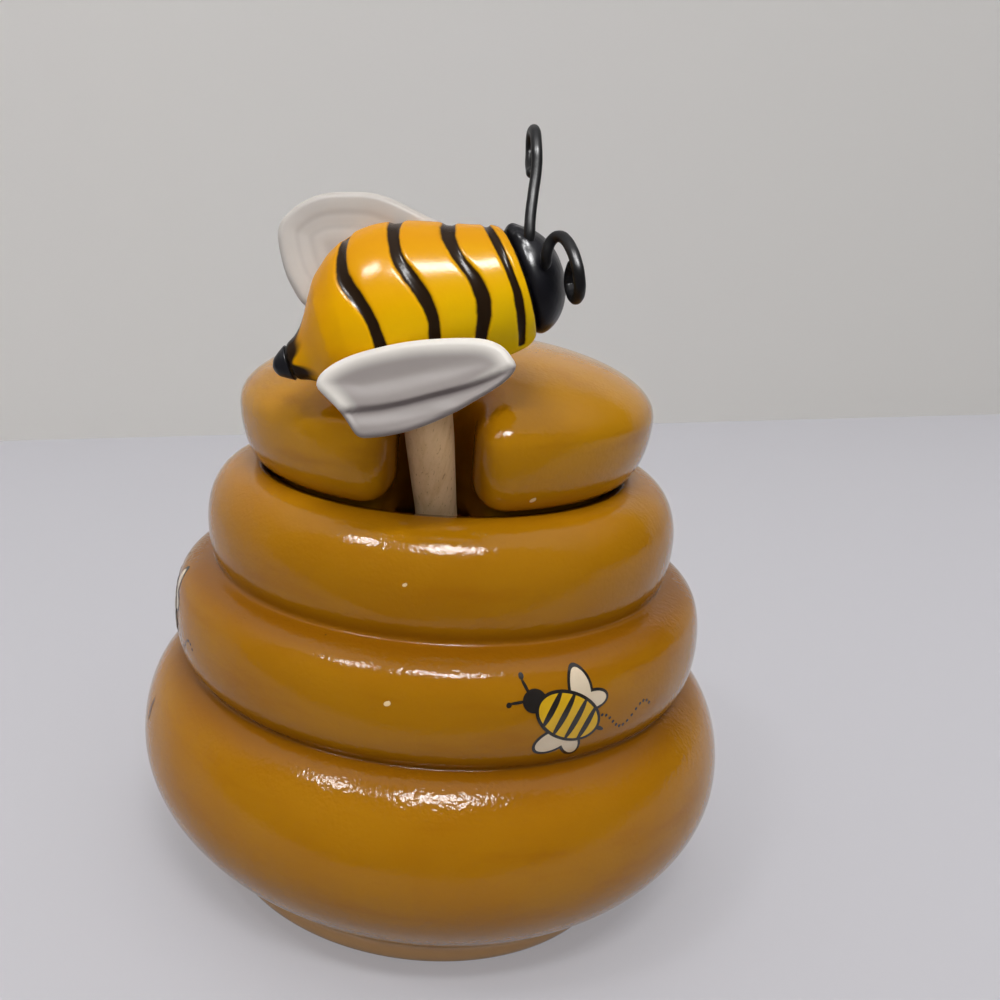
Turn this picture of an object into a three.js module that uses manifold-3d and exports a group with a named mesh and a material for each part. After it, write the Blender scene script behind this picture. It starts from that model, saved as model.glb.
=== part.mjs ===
// A glazed ceramic honey jar in the shape of a straw beehive: a pot of three stacked rings on a low
// foot, a notched lift-off lid that is the fourth ring, and a turned wooden dipper that stands in the
// notch and carries a painted bee. Millimetres, +Z up. The origin is on the pot's axis, in the plane
// that the foot stands on, and the lid's notch faces -Y.
import * as THREE from 'three';
import { mergeVertices } from 'three/addons/utils/BufferGeometryUtils.js';
import Module from 'manifold-3d';

const wasm = await Module();
wasm.setup();

// Running gap between pieces that touch or fit into each other, and how far a cut overruns
const gap = 0.3;
const overrun = 2;

// Pot: the foot, then each ring's largest radius, the creases between them and the lip
const footRadius = 43.7;
const footHeight = 3.4;
const footRingWidth = 5.5;
const footRecess = 1.6;
const bowlStartRadius = 46.6;
const bowlStartRise = 3.6;
const bowlRadius = 60;
const bowlRise = 21;
const bowlFall = 18.2;
const waistDepth = 2.6;
const middleRadius = 53.2;
const middleRise = 8.7;
const middleFall = 10.6;
const neckDepth = 2.8;
const upperRadius = 46.5;
const upperRise = 9;
const upperFall = 10.8;
const rimRadius = 37;
const lipWidth = 3.5;
const wall = 4.5;
const floorThickness = 4.6;
const floorCorner = 5;

// Roundness of each stretch between a crease and a bulge: 1 is an ellipse, less is fuller
const bowlUnderShare = 1.8;
const bowlOverShare = 1.26;
const middleUnderShare = 0.83;
const middleOverShare = 0.42;
const upperUnderShare = 0.74;
const upperOverShare = 0.8;

// Lid: a hollow dome with a flange that drops into the mouth
const lidSeatWidth = 0.9;
const lidOverhang = 3.1;
const lidRise = 12.2;
const lidCrown = 12.8;
const lidWall = 4.4;
const flangeDepth = 6;
const flangeWall = 3.6;
const flangePlay = 0.8;

// Notch in the lid, open towards -Y, and how far its mouth is rounded
const notchWidth = 13;
const notchEnd = 23.6;
const notchFlare = 5;

// Dipper: where its axis crosses the rim's height, how it leans, its shaft and its grooved head
const dipperX = 0.5;
const dipperY = -29.6;
const dipperLeanXShare = -0.13;
const dipperLeanYShare = -0.18;
const shaftNeckRadius = 3.2;
const shaftRimRadius = 3.65;
const shaftLidRadius = 4.15;
const shaftTopRadius = 4.3;
const shaftLidRise = 12.3;
const shaftEndRise = 31;
const headRadius = 12.4;
const headLength = 23;
const headTipRadius = 5.5;
const grooveCount = 6;
const grooveDepth = 4.2;
const grooveWidth = 1.6;

// Bee body: an egg on an axis that climbs towards the head, with a humped back
const beeSeatShares = [0.56, 0, -0.2];
const beePitch = 21.4;
const beeLength = 38.4;
const beeRadius = 13.3;
const beeHump = 2.8;
const tailSag = 0.3;
const collarRadius = 9.1;
const tailRadius = 3.1;

// Bee head and sting
const beeHeadRadius = 8.7;
const beeHeadLength = 7.2;
const stingLength = 3.4;
const stingTipRadius = 0.6;

// Wings: a rounded plate each, seated on the flank
const wingLength = 29.3;
const rightWingChord = 13.6;
const leftWingChord = 18;
const wingThickness = 2.4;
const wingRound = 0.8;

// Antennae: a bent wire that ends in a curl
const wireRadius = 0.85;
const leftAntennaReach = 15.3;
const rightAntennaReach = 8;
const antennaSocket = 2.4;

// How finely round shapes are divided
const potSegments = 48;
const dipperSegments = 24;
const beeSegments = 28;
const wireSides = 4;

const X = new THREE.Vector3(1, 0, 0);
const Z = new THREE.Vector3(0, 0, 1);

function paint(color, roughness) {
  return new THREE.MeshStandardMaterial({ color, roughness, metalness: 0 });
}

// Closed geometry to a solid that can be cut and joined
function solidOf(geometry) {
  const bare = geometry.clone();
  bare.deleteAttribute('normal');
  bare.deleteAttribute('uv');
  const merged = mergeVertices(bare);
  const vertProperties = new Float32Array(merged.attributes.position.array);
  const triVerts = new Uint32Array(merged.index.array);
  return new wasm.Manifold(new wasm.Mesh({ numProp: 3, vertProperties, triVerts }));
}

function geometryOf(solid) {
  const mesh = solid.getMesh();
  const geometry = new THREE.BufferGeometry();
  geometry.setAttribute('position', new THREE.BufferAttribute(new Float32Array(mesh.vertProperties), 3));
  geometry.setIndex(new THREE.BufferAttribute(new Uint32Array(mesh.triVerts), 1));
  geometry.computeVertexNormals();
  return geometry;
}

// Turned solid about +Z from [radius, height] points listed from the bottom up
function turned(points, segments) {
  const profile = points.map(([radius, height]) => new THREE.Vector2(radius, height));
  return new THREE.LatheGeometry(profile, segments).rotateX(Math.PI / 2);
}

// Stretch of outline between a crease and a bulge; `share` sets how full it is
function swell(crease, bulge, share, steps) {
  const points = [];
  for (let i = 0; i <= steps; i += 1) {
    const angle = (i / steps) * (Math.PI / 2);
    const radius = crease[0] + (bulge[0] - crease[0]) * Math.sin(angle) ** share;
    points.push([radius, bulge[1] + (crease[1] - bulge[1]) * Math.cos(angle)]);
  }
  return points;
}

function falling(bulge, crease, share, steps) {
  return swell(crease, bulge, share, steps).reverse();
}

// Pot: heights of the bulges and creases, from the foot up
const bowlStart = [bowlStartRadius, footHeight + bowlStartRise];
const bowl = [bowlRadius, bowlStart[1] + bowlRise];
const waist = [middleRadius - waistDepth, bowl[1] + bowlFall];
const middle = [middleRadius, waist[1] + middleRise];
const neck = [upperRadius - neckDepth, middle[1] + middleFall];
const upper = [upperRadius, neck[1] + upperRise];
const rim = [rimRadius, upper[1] + upperFall];
const mouthRadius = rimRadius - lipWidth;
const floorHeight = footRecess + floorThickness;

function potOutside() {
  return [
    ...swell(bowlStart, bowl, bowlUnderShare, 7),
    ...falling(bowl, waist, bowlOverShare, 5).slice(1),
    ...swell(waist, middle, middleUnderShare, 4).slice(1),
    ...falling(middle, neck, middleOverShare, 5).slice(1),
    ...swell(neck, upper, upperUnderShare, 4).slice(1),
    ...falling(upper, rim, upperOverShare, 5).slice(1),
  ];
}

function makePot() {
  const outside = potOutside();
  const inside = outside
    .filter(([, height]) => height > floorHeight + floorCorner && height < rim[1])
    .map(([radius, height]) => [radius - wall, height])
    .reverse();
  const cornerRadius = inside[inside.length - 1][0] - floorCorner;
  const points = [
    [0, footRecess],
    [footRadius - footRingWidth, footRecess],
    [footRadius - footRingWidth, 0],
    [footRadius, 0],
    [footRadius, footHeight],
    ...outside,
    [mouthRadius, rim[1]],
    ...inside,
    [cornerRadius, floorHeight],
    [0, floorHeight],
  ];
  return turned(points, potSegments);
}

// Lid: its seat lies on the rim with the running gap
const lidRadius = rimRadius + lidOverhang;
const lidSeat = [mouthRadius + lidSeatWidth, rim[1] + gap];
const lidBulge = [lidRadius, lidSeat[1] + lidRise];
const lidTop = lidBulge[1] + lidCrown;
const flangeRadius = mouthRadius - flangePlay;
const flangeBottom = rim[1] - flangeDepth;

function lidOutside() {
  return [
    ...swell(lidSeat, lidBulge, 1, 6),
    ...falling(lidBulge, [0, lidTop], 1, 8).slice(1),
  ];
}

// The lid's full body without its hollow
function lidBlank() {
  return turned([[0, flangeBottom], [flangeRadius, flangeBottom], [flangeRadius, lidSeat[1]],
    ...lidOutside()], potSegments);
}

// The hollow under the lid: straight inside the flange, then a dome below the crown
function lidHollow() {
  const inner = flangeRadius - flangeWall;
  const side = [inner, lidBulge[1]];
  return turned([[0, flangeBottom - overrun], [inner, flangeBottom - overrun],
    ...falling(side, [0, lidTop - lidWall], 1, 7)], potSegments);
}

// Plan of the notch, grown by `margin`: a slot with a round end and a flared mouth
function notchPlan(margin, flare) {
  const half = notchWidth / 2 + margin;
  const end = notchEnd - margin;
  const edge = lidRadius + overrun;
  const shape = new THREE.Shape();
  shape.moveTo(half, -end - half);
  shape.absarc(0, -end - half, half, 0, Math.PI, false);
  shape.lineTo(-half, -lidRadius + flare);
  shape.quadraticCurveTo(-half, -lidRadius, -half - flare, -edge);
  shape.lineTo(half + flare, -edge);
  shape.quadraticCurveTo(half, -lidRadius, half, -lidRadius + flare);
  shape.closePath();
  return shape;
}

function notchBlock(margin, flare) {
  const low = flangeBottom - overrun;
  const depth = lidTop + overrun - low;
  return new THREE.ExtrudeGeometry(notchPlan(margin, flare), { depth, bevelEnabled: false, curveSegments: 8 })
    .translate(0, 0, low);
}

function makeLid() {
  const hollow = solidOf(lidHollow()).subtract(solidOf(notchBlock(lidWall, notchFlare)));
  const lid = solidOf(lidBlank()).subtract(hollow).subtract(solidOf(notchBlock(0, notchFlare)));
  return geometryOf(lid);
}

// Dipper: turned along its own axis, whose zero is where it crosses the rim's height
const dipperAxis = new THREE.Vector3(dipperLeanXShare, dipperLeanYShare, 1).normalize();
const dipperLean = Math.acos(dipperAxis.z);
const tipLift = headTipRadius * Math.sin(dipperLean);
const tipAlong = -(rim[1] - floorHeight - gap - tipLift) / Math.cos(dipperLean);

function headProfile() {
  const points = [[0, tipAlong], [headTipRadius, tipAlong]];
  const grooveStep = headLength / (grooveCount + 1);
  for (let i = 0; i <= grooveCount; i += 1) {
    const low = tipAlong + grooveStep * i;
    const high = low + grooveStep - grooveWidth;
    const bulge = (along) => {
      const share = (along - tipAlong) / headLength;
      return headTipRadius + (headRadius - headTipRadius) * Math.sqrt(Math.sin(Math.PI * share));
    };
    const first = i === 0 ? [] : [[bulge(low), low]];
    points.push(...first, [bulge((low + high) / 2), (low + high) / 2], [bulge(high), high]);
    if (i < grooveCount) {
      points.push([bulge(high) - grooveDepth, high], [bulge(low + grooveStep) - grooveDepth, low + grooveStep]);
    }
  }
  return points;
}

function makeDipper() {
  return turned([
    ...headProfile(),
    [shaftNeckRadius, tipAlong + headLength],
    [shaftRimRadius, 0],
    [shaftLidRadius, shaftLidRise],
    [shaftTopRadius, shaftEndRise],
    [0, shaftEndRise],
  ], dipperSegments);
}

function alongDipper(geometry) {
  const turn = new THREE.Quaternion().setFromUnitVectors(Z, dipperAxis);
  return geometry.applyQuaternion(turn).translate(dipperX, dipperY, rim[1]);
}

// Bee: its own frame has +X along the body towards the head, +Z up and square to it
const pitch = THREE.MathUtils.degToRad(beePitch);

// Where the tail starts, so that the end of the stick stands in the body at its seat
const beeTail = dipperAxis.clone().multiplyScalar(shaftEndRise)
  .add(new THREE.Vector3(dipperX, dipperY, rim[1]))
  .sub(new THREE.Vector3(beeSeatShares[0] * beeLength, beeSeatShares[1] * beeRadius, beeSeatShares[2] * beeRadius)
    .applyAxisAngle(new THREE.Vector3(0, 1, 0), -pitch));

// Half heights along the body as shares of its length and of its widest radius
const bodyShares = [
  [0.05, 0.29], [0.09, 0.375], [0.125, 0.49], [0.165, 0.64], [0.213, 0.8], [0.3, 0.93], [0.37, 0.975],
  [0.44, 1], [0.52, 0.995], [0.604, 0.97], [0.69, 0.93], [0.77, 0.885], [0.854, 0.83], [0.927, 0.78],
];

// How far the body's centre line lies above its axis: humped in the middle, hanging at the tail
function hump(share) {
  const along = THREE.MathUtils.clamp(share, 0, 1);
  return beeHump * Math.sin(Math.PI * along) ** 2 - tailSag * (1 - along) ** 4;
}

// The egg of the body, grown by `margin` for the cuts of what sits against it
function beeEgg(margin) {
  const points = [
    [0, -margin],
    [tailRadius + margin, -margin],
    ...bodyShares.map(([along, size]) => [size * beeRadius + margin, along * beeLength]),
    [collarRadius + margin, beeLength + margin],
    [0, beeLength + margin],
  ];
  const egg = turned(points, beeSegments).applyQuaternion(new THREE.Quaternion().setFromUnitVectors(Z, X));
  const place = egg.attributes.position;
  for (let i = 0; i < place.count; i += 1) {
    place.setZ(i, place.getZ(i) + hump(place.getX(i) / beeLength));
  }
  return egg;
}

function alongBee(geometry) {
  return geometry.rotateY(-pitch).translate(...beeTail);
}

function makeBeeBody() {
  const length = shaftEndRise + gap;
  const bore = new THREE.CylinderGeometry(shaftTopRadius + gap, shaftTopRadius + gap, length, dipperSegments)
    .rotateX(Math.PI / 2).translate(0, 0, length / 2);
  return geometryOf(solidOf(alongBee(beeEgg(0))).subtract(solidOf(alongDipper(bore))));
}

// The sting's bulge from its tip to its root, as shares of its length and of the tail's radius
const stingShares = [[0.8, 0.52], [0.5, 0.74]];

function makeSting() {
  const sting = turned([
    [0, -stingLength],
    [stingTipRadius, -stingLength],
    ...stingShares.map(([along, size]) => [size * tailRadius, -along * stingLength]),
    [tailRadius, -gap],
    [0, -gap],
  ], beeSegments);
  return alongBee(sting.applyQuaternion(new THREE.Quaternion().setFromUnitVectors(Z, X))
    .translate(0, 0, hump(0)));
}

// Antennae: the base in shares of the head's length and radius, the way the wire leaves the head, and
// its places from the base in shares of its reach, in the bee's own frame
const antennae = {
  left_antenna: {
    baseShares: [0.45, -0.6, 0.67],
    leaveShares: [0.49, -0.23, 0.84],
    placeShares: [
      [0.06, 0.02, 0.15], [0.11, 0.07, 0.27], [0.19, 0.15, 0.44], [0.25, 0.2, 0.56],
      [0.3, 0.24, 0.68], [0.33, 0.27, 0.78], [0.36, 0.37, 0.89], [0.38, 0.48, 0.96],
      [0.38, 0.61, 1], [0.36, 0.72, 0.98], [0.33, 0.79, 0.9], [0.3, 0.79, 0.8],
      [0.26, 0.71, 0.7], [0.24, 0.58, 0.62], [0.23, 0.45, 0.59],
    ],
    reach: leftAntennaReach,
  },
  right_antenna: {
    baseShares: [0.58, -0.8, 0.21],
    leaveShares: [0.65, -0.74, 0.2],
    placeShares: [
      [0.12, -0.25, 0.23], [0.23, -0.23, 0.39], [0.36, -0.27, 0.47], [0.47, -0.44, 0.43],
      [0.52, -0.7, 0.31], [0.54, -0.98, 0.12], [0.53, -1.15, -0.15], [0.49, -1.1, -0.42],
      [0.44, -0.88, -0.61], [0.38, -0.61, -0.71], [0.35, -0.33, -0.66], [0.36, -0.11, -0.49],
      [0.42, -0.13, -0.29], [0.5, -0.31, -0.13], [0.53, -0.51, -0.08],
    ],
    reach: rightAntennaReach,
  },
};

// The wire's centre line: straight out of its socket, then through its places
function antennaPath({ baseShares, leaveShares, placeShares, reach }) {
  const up = new THREE.Vector3(...leaveShares).normalize();
  const [ahead, aside, above] = baseShares;
  const base = new THREE.Vector3(
    beeLength + ahead * beeHeadLength, aside * beeHeadRadius, above * beeHeadRadius);
  const foot = base.clone().addScaledVector(up, -antennaSocket);
  const mouth = base.clone().addScaledVector(up, wireRadius);
  const places = placeShares.map((place) => new THREE.Vector3(...place).multiplyScalar(reach).add(base));
  return { foot, mouth, up, curve: new THREE.CatmullRomCurve3([foot, base, mouth, ...places]) };
}

function wireSection(radius) {
  const section = new THREE.Shape();
  section.absarc(0, 0, radius, 0, 2 * Math.PI, false);
  return section;
}

function makeAntenna(plan) {
  const extrudePath = antennaPath(plan).curve;
  const steps = Math.round(extrudePath.getLength() / wireRadius);
  return alongBee(new THREE.ExtrudeGeometry(wireSection(wireRadius),
    { steps, extrudePath, curveSegments: wireSides }));
}

// Straight hole in the head that an antenna stands in
function antennaBore(plan) {
  const { foot, mouth, up } = antennaPath(plan);
  const extrudePath = new THREE.LineCurve3(
    foot.clone().addScaledVector(up, -gap), mouth.clone().addScaledVector(up, wireRadius));
  return new THREE.ExtrudeGeometry(wireSection(wireRadius + gap), { steps: 1, extrudePath, curveSegments: wireSides });
}

function makeHead() {
  const points = [[0, beeLength + gap], [beeHeadRadius, beeLength + gap],
    ...falling([beeHeadRadius, beeLength + gap], [0, beeLength + beeHeadLength], 1, 7).slice(1)];
  const dome = turned(points, beeSegments).applyQuaternion(new THREE.Quaternion().setFromUnitVectors(Z, X));
  const head = Object.values(antennae).reduce(
    (solid, plan) => solid.subtract(solidOf(antennaBore(plan))), solidOf(dome));
  return alongBee(geometryOf(head));
}

// Wing outlines as shares of the wing's length and chord, from the trailing tip round to the root
const rightWingShares = [
  [0, 0.19], [0.03, 0.1], [0.095, 0.04], [0.2, 0], [0.35, 0.01], [0.53, 0.06], [0.69, 0.145],
  [0.85, 0.257], [0.925, 0.351], [0.969, 0.456], [0.989, 0.572], [1, 0.665], [0.974, 0.748],
  [0.895, 0.829], [0.773, 0.894], [0.65, 0.956], [0.505, 0.996], [0.376, 1], [0.261, 0.971],
  [0.159, 0.923], [0.126, 0.854], [0.105, 0.697], [0.077, 0.538], [0.037, 0.382], [0.005, 0.253],
];
const leftWingShares = [
  [0, 0.55], [0.01, 0.3], [0.08, 0.04], [0.35, 0], [0.7, 0.04], [0.98, 0.22], [0.86, 0.45],
  [0.65, 0.79], [0.47, 0.93], [0.3, 1], [0.14, 0.96], [0.03, 0.83],
];

// Wings: where the outline starts, as shares of the body's length and radius along, out of and above
// its axis, and how many degrees the plate turns about the body
const wings = {
  right_wing: {
    rootShares: [0.144, 1.015, -0.068], turn: 160, chord: rightWingChord, shares: rightWingShares,
  },
  left_wing: {
    rootShares: [0.083, -0.15, 0.451], turn: -15, chord: leftWingChord, shares: leftWingShares,
  },
};

function makeWing({ rootShares, turn, chord, shares }) {
  const [along, outward, above] = rootShares;
  const corners = shares.map(([length, width]) => new THREE.Vector2(length * wingLength, width * chord));
  const outline = new THREE.SplineCurve([...corners, corners[0]]);
  const shape = new THREE.Shape(outline.getPoints(36).slice(0, -1));
  const plate = new THREE.ExtrudeGeometry(shape, {
    depth: wingThickness - 2 * wingRound,
    bevelThickness: wingRound,
    bevelSize: wingRound,
    bevelOffset: -wingRound,
    bevelSegments: 2,
  });
  plate.translate(0, 0, wingRound - wingThickness / 2)
    .rotateX(Math.PI / 2)
    .rotateX(THREE.MathUtils.degToRad(turn))
    .translate(along * beeLength, -outward * beeRadius, above * beeRadius);
  return geometryOf(solidOf(alongBee(plate)).subtract(solidOf(alongBee(beeEgg(gap)))));
}

const glaze = () => paint('#b07d23', 0.18);
const pieces = {
  jar_body: [makePot(), glaze()],
  lid: [makeLid(), glaze()],
  honey_dipper: [alongDipper(makeDipper()), paint('#c3ab88', 0.75)],
  bee_body: [makeBeeBody(), paint('#e6a50f', 0.35)],
  bee_head: [makeHead(), paint('#19191e', 0.25)],
  bee_stinger: [makeSting(), paint('#1c1a1c', 0.35)],
  right_wing: [makeWing(wings.right_wing), paint('#e1dedc', 0.4)],
  left_wing: [makeWing(wings.left_wing), paint('#e1dedc', 0.4)],
  right_antenna: [makeAntenna(antennae.right_antenna), paint('#141416', 0.35)],
  left_antenna: [makeAntenna(antennae.left_antenna), paint('#141416', 0.35)],
};

const honeyJar = new THREE.Group();
for (const [name, [geometry, material]] of Object.entries(pieces)) {
  const mesh = new THREE.Mesh(geometry, material);
  mesh.name = name;
  honeyJar.add(mesh);
}

export default honeyJar;
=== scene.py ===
"""A glazed beehive honey jar with a notched lid, a wooden dipper and a painted bee.

Sizes are in metres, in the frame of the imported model: +Z up, the pot's axis at
the origin, the lid's notch facing -Y and the bee's head pointing to +X.
"""

from __future__ import annotations

import logging
import math
from dataclasses import dataclass, field
from enum import Enum
from typing import Callable, Sequence

import bmesh
import bpy
import numpy as np
from bmesh.types import BMesh
from bpy.types import Material, NodeSocket, Object
from mathutils import Matrix, Vector

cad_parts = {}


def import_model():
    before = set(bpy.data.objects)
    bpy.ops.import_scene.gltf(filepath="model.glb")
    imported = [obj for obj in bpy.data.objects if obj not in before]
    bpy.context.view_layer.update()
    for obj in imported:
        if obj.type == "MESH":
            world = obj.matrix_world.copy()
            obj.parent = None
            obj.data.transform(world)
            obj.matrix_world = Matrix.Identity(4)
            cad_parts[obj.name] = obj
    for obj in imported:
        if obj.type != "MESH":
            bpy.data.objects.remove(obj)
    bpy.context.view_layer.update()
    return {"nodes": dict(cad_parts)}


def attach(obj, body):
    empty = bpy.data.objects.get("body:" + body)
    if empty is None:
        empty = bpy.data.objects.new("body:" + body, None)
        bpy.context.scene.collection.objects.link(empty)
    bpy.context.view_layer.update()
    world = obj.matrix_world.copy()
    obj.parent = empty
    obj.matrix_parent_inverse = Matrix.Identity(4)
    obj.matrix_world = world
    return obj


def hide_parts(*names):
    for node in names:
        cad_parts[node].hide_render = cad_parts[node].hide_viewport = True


LOG = logging.getLogger("honey_jar")
MM = 0.001

Pair = tuple[float, float]
Triple = tuple[float, float, float]
Pairs = Sequence[Pair]
Inputs = dict[object, object]
Masks = dict[str, np.ndarray]


class Body(Enum):
    """The bodies that pieces ride on."""

    JAR = "jar"
    LID = "lid"
    DIPPER = "dipper"


class Slot(Enum):
    """The record's material slots."""

    GLAZE = "glaze"
    WOOD = "wood"
    YELLOW = "bee_yellow"
    BLACK = "bee_black"
    WHITE = "wing_white"
    WIRE = "antenna_wire"


# Outlines and surfaces


def swell(crease: Pair, bulge: Pair, share: float, steps: int = 28) -> np.ndarray:
    """Return the stretch of outline that swells from a crease to a bulge.

    Args:
        crease: Radius and height of the crease.
        bulge: Radius and height of the bulge.
        share: Fullness, where 1 is an ellipse and less is fuller.
        steps: Number of pieces that the stretch is divided into.

    Returns:
        Rows of radius and height.
    """
    angle = np.linspace(0.0, math.pi / 2, steps + 1)
    radius = crease[0] + (bulge[0] - crease[0]) * np.sin(angle) ** share
    return np.column_stack((radius, bulge[1] + (crease[1] - bulge[1]) * np.cos(angle)))


def resampled(line: np.ndarray, spacing: float) -> np.ndarray:
    """Return a line's points again at an even spacing.

    Args:
        line: Rows of coordinates.
        spacing: Wanted distance between neighbours.

    Returns:
        Rows of coordinates with the same ends.
    """
    reach = np.concatenate(([0.0], np.cumsum(np.linalg.norm(np.diff(line, axis=0), axis=1))))
    places = np.linspace(0.0, reach[-1], max(3, round(reach[-1] / spacing) + 1))
    return np.column_stack([np.interp(places, reach, column) for column in line.T])


def softened(line: np.ndarray, spacing: float, spread: float) -> np.ndarray:
    """Round the corners of an open line and hold its ends.

    Args:
        line: Rows of coordinates.
        spacing: Distance between the points of the result.
        spread: Standard deviation of the running average, along the line.

    Returns:
        Rows of coordinates.
    """
    even = resampled(line, spacing)
    reach = max(1, round(3 * spread / spacing))
    weights = np.exp(-0.5 * (np.arange(-reach, reach + 1) * spacing / spread) ** 2)
    weights /= weights.sum()
    padded = np.pad(even, ((reach, reach), (0, 0)), mode="reflect", reflect_type="odd")
    return np.column_stack([np.convolve(column, weights, mode="valid") for column in padded.T])


def closed_curve(corners: Pairs, count: int = 240, spread: float = 3.0) -> np.ndarray:
    """Return a smooth closed curve through the corners.

    Args:
        corners: Points in order round the outline.
        count: Number of points of the curve.
        spread: How many points the rounding of its corners spans.

    Returns:
        Rows of coordinates, the first not repeated.
    """
    points = np.array(corners, dtype=float)
    place = np.linspace(0.0, len(points), count, endpoint=False)
    index = place.astype(int)
    part = (place - index)[:, None]
    before, start, end, after = (points[(index + step) % len(points)] for step in (-1, 0, 1, 2))
    curve = 0.5 * (
        2 * start
        + (end - before) * part
        + (2 * before - 5 * start + 4 * end - after) * part**2
        + (3 * start - before - 3 * end + after) * part**3
    )
    steps = np.arange(-12, 13)
    weights = np.exp(-0.5 * (steps / spread) ** 2)
    return sum(weight * np.roll(curve, step, axis=0) for step, weight in zip(steps, weights / weights.sum()))


def eased(low: float, high: float, value: np.ndarray) -> np.ndarray:
    """Return a smooth step from 0 below low to 1 above high."""
    share = np.clip((value - low) / (high - low), 0.0, 1.0)
    return share * share * (3 - 2 * share)


def bell(value: np.ndarray, middle: float, spread: float) -> np.ndarray:
    """Return a bell curve that is 1 at the middle and dies away on both sides."""
    return np.exp(-(((value - middle) / spread) ** 2))


def outline_distance(outline: np.ndarray, radius: np.ndarray, height: np.ndarray) -> np.ndarray:
    """Return the signed distance to a turned solid, negative inside.

    Args:
        outline: Rows of radius and height, closed, that may run along the axis.
        radius: Distance of each place from the axis.
        height: Height of each place.

    Returns:
        One distance per place.
    """
    nearest = np.full(radius.shape, np.inf)
    inside = np.zeros(radius.shape, dtype=bool)
    for start, end in zip(outline, np.roll(outline, -1, axis=0)):
        run, rise = end - start
        crosses = (start[1] > height) != (end[1] > height)
        if abs(rise) > 1e-12:
            inside ^= crosses & (radius < run * (height - start[1]) / rise + start[0])
        if max(start[0], end[0]) < 1e-9 or run * run + rise * rise < 1e-18:
            continue
        share = ((radius - start[0]) * run + (height - start[1]) * rise) / (run * run + rise * rise)
        share = np.clip(share, 0.0, 1.0)
        gap = np.hypot(radius - start[0] - share * run, height - start[1] - share * rise)
        nearest = np.minimum(nearest, gap)
    return np.where(inside, -nearest, nearest)


def rounded_cut(solid: np.ndarray, tool: np.ndarray, radius: float) -> np.ndarray:
    """Return the distance to a solid less a tool, with the edge rounded.

    Args:
        solid: Signed distances to the solid.
        tool: Signed distances to what is cut away.
        radius: Radius of the rounded edge.

    Returns:
        Signed distances to what is left.
    """
    across = np.hypot(np.maximum(solid + radius, 0.0), np.maximum(radius - tool, 0.0))
    return np.minimum(np.maximum(solid, -tool), -radius) + across


# Meshes


def vertex_places(mesh: BMesh) -> np.ndarray:
    """Return a mesh's vertex places as rows."""
    return np.array([vertex.co[:] for vertex in mesh.verts])


def put_vertices(mesh: BMesh, places: np.ndarray) -> None:
    """Move a mesh's vertices to the given rows."""
    for vertex, place in zip(mesh.verts, places):
        vertex.co = place


def tidied(mesh: BMesh, weld: float) -> None:
    """Join vertices that lie together and turn the faces outwards."""
    bmesh.ops.remove_doubles(mesh, verts=mesh.verts, dist=weld)
    bmesh.ops.recalc_face_normals(mesh, faces=mesh.faces)


def spun(outline: np.ndarray, steps: int) -> BMesh:
    """Spin an outline about the Z axis.

    Args:
        outline: Rows of radius and height.
        steps: Number of divisions round the axis.

    Returns:
        A closed mesh with its faces pointing out.
    """
    mesh = bmesh.new()
    verts = [mesh.verts.new((radius, 0.0, height)) for radius, height in outline]
    edges = [mesh.edges.new(pair) for pair in zip(verts, verts[1:])]
    bmesh.ops.spin(
        mesh, geom=verts + edges, axis=(0.0, 0.0, 1.0), angle=2 * math.pi, steps=steps, use_merge=True,
    )
    tidied(mesh, 1e-6)
    return mesh


def in_scene(name: str, data: bpy.types.ID) -> Object:
    """Add an object to the scene and return it.

    Args:
        name: The object's name.
        data: Its mesh, curve, lamp or camera.

    Returns:
        The new object.
    """
    thing = bpy.data.objects.new(name, data)
    bpy.context.scene.collection.objects.link(thing)
    return thing


def drawn_mesh(draft: Object) -> BMesh:
    """Return an object's mesh as its modifiers and bevels make it, and remove the object.

    Args:
        draft: The object.

    Returns:
        A new mesh.
    """
    shape = bpy.data.meshes.new_from_object(draft.evaluated_get(bpy.context.evaluated_depsgraph_get()))
    mesh = bmesh.new()
    mesh.from_mesh(shape)
    bpy.data.objects.remove(draft)
    bpy.data.meshes.remove(shape)
    return mesh


def finished(
    mesh: BMesh,
    name: str,
    material: Material,
    masks: Masks | None = None,
) -> Object:
    """Turn a mesh into a smooth object of the scene.

    Args:
        mesh: The mesh, which is freed.
        name: The piece's name.
        material: Its finish.
        masks: Values per vertex that the finish reads, by name.

    Returns:
        The new object, at the origin.
    """
    data = bpy.data.meshes.new(name)
    for face in mesh.faces:
        face.smooth = True
    mesh.to_mesh(data)
    mesh.free()
    for label, values in (masks or {}).items():
        data.attributes.new(label, "FLOAT", "POINT").data.foreach_set("value", values.astype(np.float32))
    data.materials.append(material)
    return in_scene(name, data)


def place_piece(piece: Object, body: Body, slot: Slot, *nodes: str) -> Object:
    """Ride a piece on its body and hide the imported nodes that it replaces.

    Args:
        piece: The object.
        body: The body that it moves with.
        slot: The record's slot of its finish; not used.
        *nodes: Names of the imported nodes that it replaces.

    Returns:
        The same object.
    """
    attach(piece, body.value)
    if nodes:
        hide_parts(*nodes)
    LOG.info("%s: %d vertices, on %s", piece.name, len(piece.data.vertices), body.value)
    return piece


# Finishes


@dataclass(frozen=True)
class Tone:
    """A colour as it is seen, each channel from 0 to 255."""

    red: int
    green: int
    blue: int

    def linear(self) -> tuple[float, float, float, float]:
        """Return the colour as a shader takes it.

        Returns:
            Red, green, blue and full opacity, each from 0 to 1.
        """
        channels = []
        for value in (self.red, self.green, self.blue):
            share = value / 255
            channels.append(share / 12.92 if share <= 0.04045 else ((share + 0.055) / 1.055) ** 2.4)
        return (*channels, 1.0)


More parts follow.
